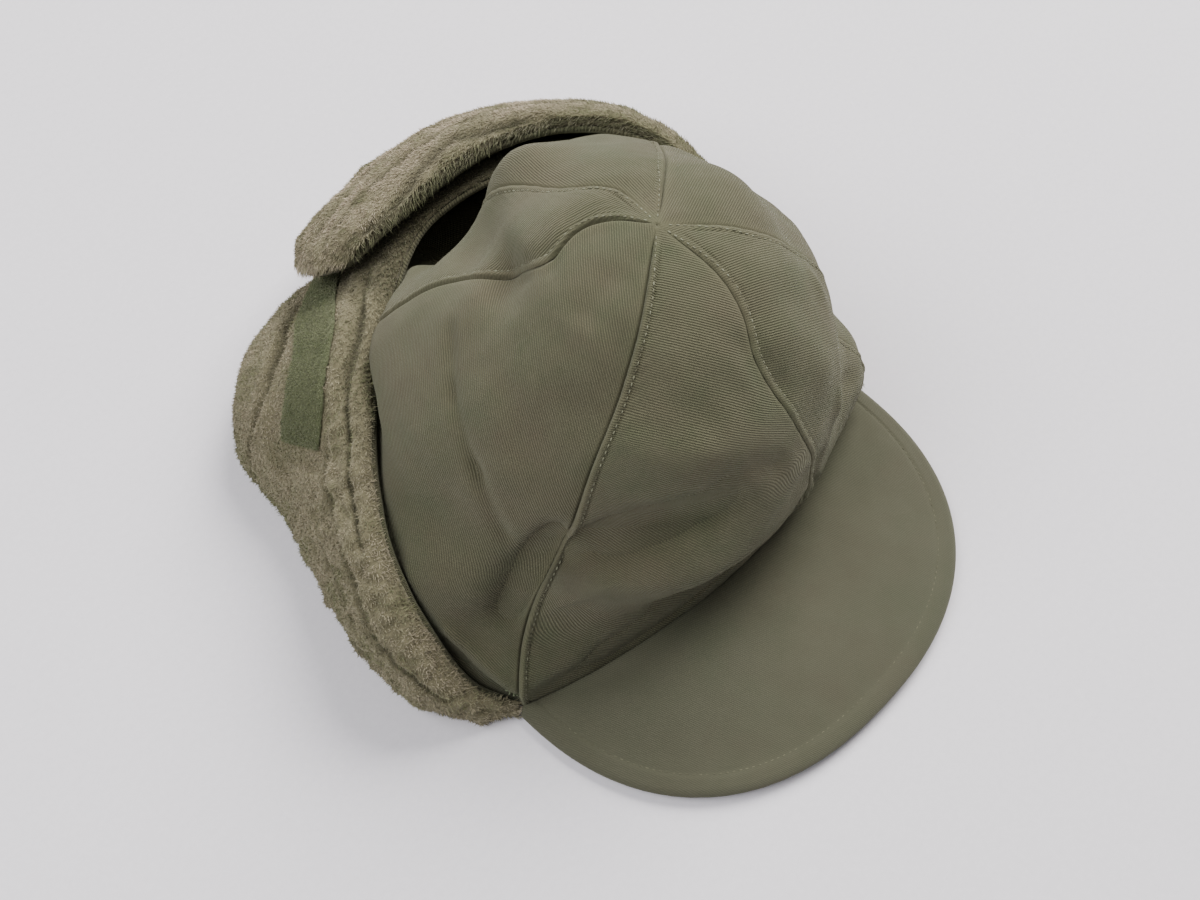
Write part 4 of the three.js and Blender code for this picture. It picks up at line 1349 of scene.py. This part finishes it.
def tape_cloth(name, flap, rows, level, inward, ragged, columns=150, lanes=36):
    """A closed strip on a flap, its cut size and its area; level is how high its underside lies."""
    start, stop = rows["angle"][0], rows["angle"][-1]
    share = np.linspace(0, 1, columns + 1)
    turn = start + (stop - start) * (1 - share if flap["side"] < 0 else share)
    turn = np.broadcast_to(turn[:, None], (columns + 1, lanes + 1))
    lane = np.broadcast_to(np.linspace(-1, 1, lanes + 1), turn.shape)
    across = read(rows, "middle", turn) + read(rows, "half", turn) * lane
    turn = turn + read(rows, "slant", turn) * lane
    seen = flap_point(flap, turn, across, level(turn, across) + strip_thickness)
    wobble = ragged * smooth(np.abs(lane), 0.8, 1.0) * np.sign(lane)
    across = across + wobble * (0.008 * ripple(seen, 2.2, 51) + 0.006 * ripple(seen, 7, 52))
    base = level(turn, across)
    rim = np.sqrt(np.maximum(1 - np.abs(lane) ** 8, 0.05))
    lift = strip_thickness * rim + 0.12 * ripple(seen, 5, 53) * rim
    high = flap_point(flap, turn, across, base + lift)
    low = flap_point(flap, turn, across, base)
    face = (low[::-1], high[::-1]) if inward else (high, low)
    vertices, faces, picks = wall(*face, 6)
    run, rise = lengths(seen, 0), lengths(seen, 1)
    nap = 0.25 * unit(np.gradient(seen, axis=0))
    end = 1 - smooth(run, 0, 1.2) if flap["side"] > 0 else smooth(run, run.max() - 1.3, run.max())
    marks = {"nap": nap, "reach": np.full(turn.shape, 0.9), "cover": rim ** 2,
             "dusk": 0.3 * ripple(seen, 9, 54), "cut": end * smooth(lane, 0.3, 0.9)}
    order = -1 if inward else 1
    marks = {label: both_faces(values[::order], picks) for label, values in marks.items()}
    marks["cover"][turn.size:] = 0
    piece = cloth_object(name, vertices, faces, both_faces(np.stack([run, rise], -1), picks), **marks)
    return piece, *cut_size(name, faces, rise, run)


def on_plush(turn, across):
    return pile_thickness(right_flap, turn, across) + 1.5 * flap_gap


def under_twill(turn, across):
    return -flap_shell - strip_thickness - 1.5 * flap_gap + 0 * turn


loop_tape, loop_flat, loop_area = tape_cloth("loop_tape", right_flap, loop_rows, on_plush, False, 0.4)
hook_tape, hook_flat, hook_area = tape_cloth("hook_tape", left_flap, hook_rows, under_twill, True, 0.2)
loop_tape.data.materials.append(felt)
hook_tape.data.materials.append(hooks)
loop_nap = plant("loop_tape_nap", loop_tape, 14000, loop_area, 0.32, Lift=0.6, Tousle=2.0, Tuft=700.0,
                 Fray=0.9, Seed=9, Material=felt)

# %% [markdown]
# ## Putting the pieces on the frame
# Every piece rides on the cap's one body, and where it stands for one of the frame's solids, that
# solid is hidden. The size each cloth was cut to is measured on the panels as they were laid out, and
# printed.

body = next(iter(frame["bodies"]))


def place_piece(piece, slot, *nodes):
    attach(piece, body)
    if nodes:
        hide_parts(*nodes)


for name, (piece, flat, area, _) in crown.items():
    piece.data.materials.append(crown_twill)
    place_piece(piece, "crown_twill", name)
place_piece(crown_stitches, "crown_twill")
place_piece(bar_tack, "crown_twill")
peak_cloth.data.materials.append(peak_twill)
place_piece(peak_cloth, "peak_twill", "peak")
place_piece(peak_stitches, "peak_twill")
for side, (piece, flat, area, _) in shells.items():
    piece.data.materials.append(flap_twill)
    place_piece(piece, "flap_twill", f"earflap_{side}_shell")
place_piece(flap_stitches, "flap_twill")
for piece, fibres_piece, node in ((right_pile, right_nap, "earflap_right_pile"),
                                  (left_pile, left_nap, "earflap_left_pile")):
    place_piece(piece, "plush", node)
    place_piece(fibres_piece, "plush")
place_piece(loop_tape, "loop_tape", "loop_strip")
place_piece(loop_nap, "loop_tape")
place_piece(hook_tape, "hook_tape", "hook_strip")

# %% [markdown]
# ## Floor, light and camera
# The cap lies on a pale floor under a broad soft light from above, with more of it coming from behind on
# the right. The camera looks down steeply from over the cap's right front, as a person does who has just
# laid it down.

# %% Floor
bpy.ops.mesh.primitive_plane_add(size=6, location=(0, 0, -0.0004))
floor = bpy.context.object
floor.name = "floor"
floor_paint, floor_nodes, floor_shader = surface("pale_floor", 0.95, 0.0, (1, 1, 1))
floor_grain = noise(floor_nodes, own_place(floor_nodes), 420, 3.0, 0.7)
floor_colour = blend(floor_nodes, floor_grain, (0.75, 0.73, 0.765), (0.85, 0.83, 0.865))
floor_nodes.links.new(floor_colour, floor_shader.inputs["Base Color"])
floor.data.materials.append(floor_paint)

# %% Light


def lamp(name, energy, size, place, colour):
    """A round soft lamp, aimed at the middle of the cap."""
    data = bpy.data.lights.new(name, "AREA")
    data.shape = "DISK"
    data.energy, data.size, data.color = energy, size, colour
    made = linked(name, data)
    made.location = place
    made.rotation_euler = (Vector((0, 0, 0.05)) - Vector(place)).to_track_quat("-Z", "Y").to_euler()
    print(name, energy, "W at", place)


lamp("ceiling_light", 72, 1.3, (1.3, 0.3, 1.4), (1.0, 0.975, 0.95))
lamp("window_light", 27, 1.3, (-0.9, 0.5, 1.4), (0.98, 0.98, 1.0))
world = bpy.data.worlds.new("room")
world.use_nodes = True
sky = world.node_tree.nodes["Background"].inputs
sky["Color"].default_value = (0.92, 0.90, 0.94, 1)
sky["Strength"].default_value = 0.36
bpy.context.scene.world = world

# %% Camera
camera_turn, camera_rise = math.radians(-45.0), math.radians(63.0)
camera_place = np.array([-167.7, -191.5, 471.6]) + hem_centre
level_share = math.cos(camera_rise)
back = Vector((math.sin(camera_turn) * level_share, -math.cos(camera_turn) * level_share,
               math.sin(camera_rise)))
right = Vector((math.cos(camera_turn), math.sin(camera_turn), 0))
camera_data = bpy.data.cameras.new("camera")
camera_data.lens, camera_data.sensor_width = 45, 36
camera = linked("camera", camera_data)
facing = Matrix((right, back.cross(right), back)).transposed().to_4x4()
camera.matrix_world = Matrix.Translation(Vector(camera_place * MM)) @ facing
print("camera", round(float(np.linalg.norm(camera_place))), "mm from the frame's origin")
bpy.context.scene.camera = camera
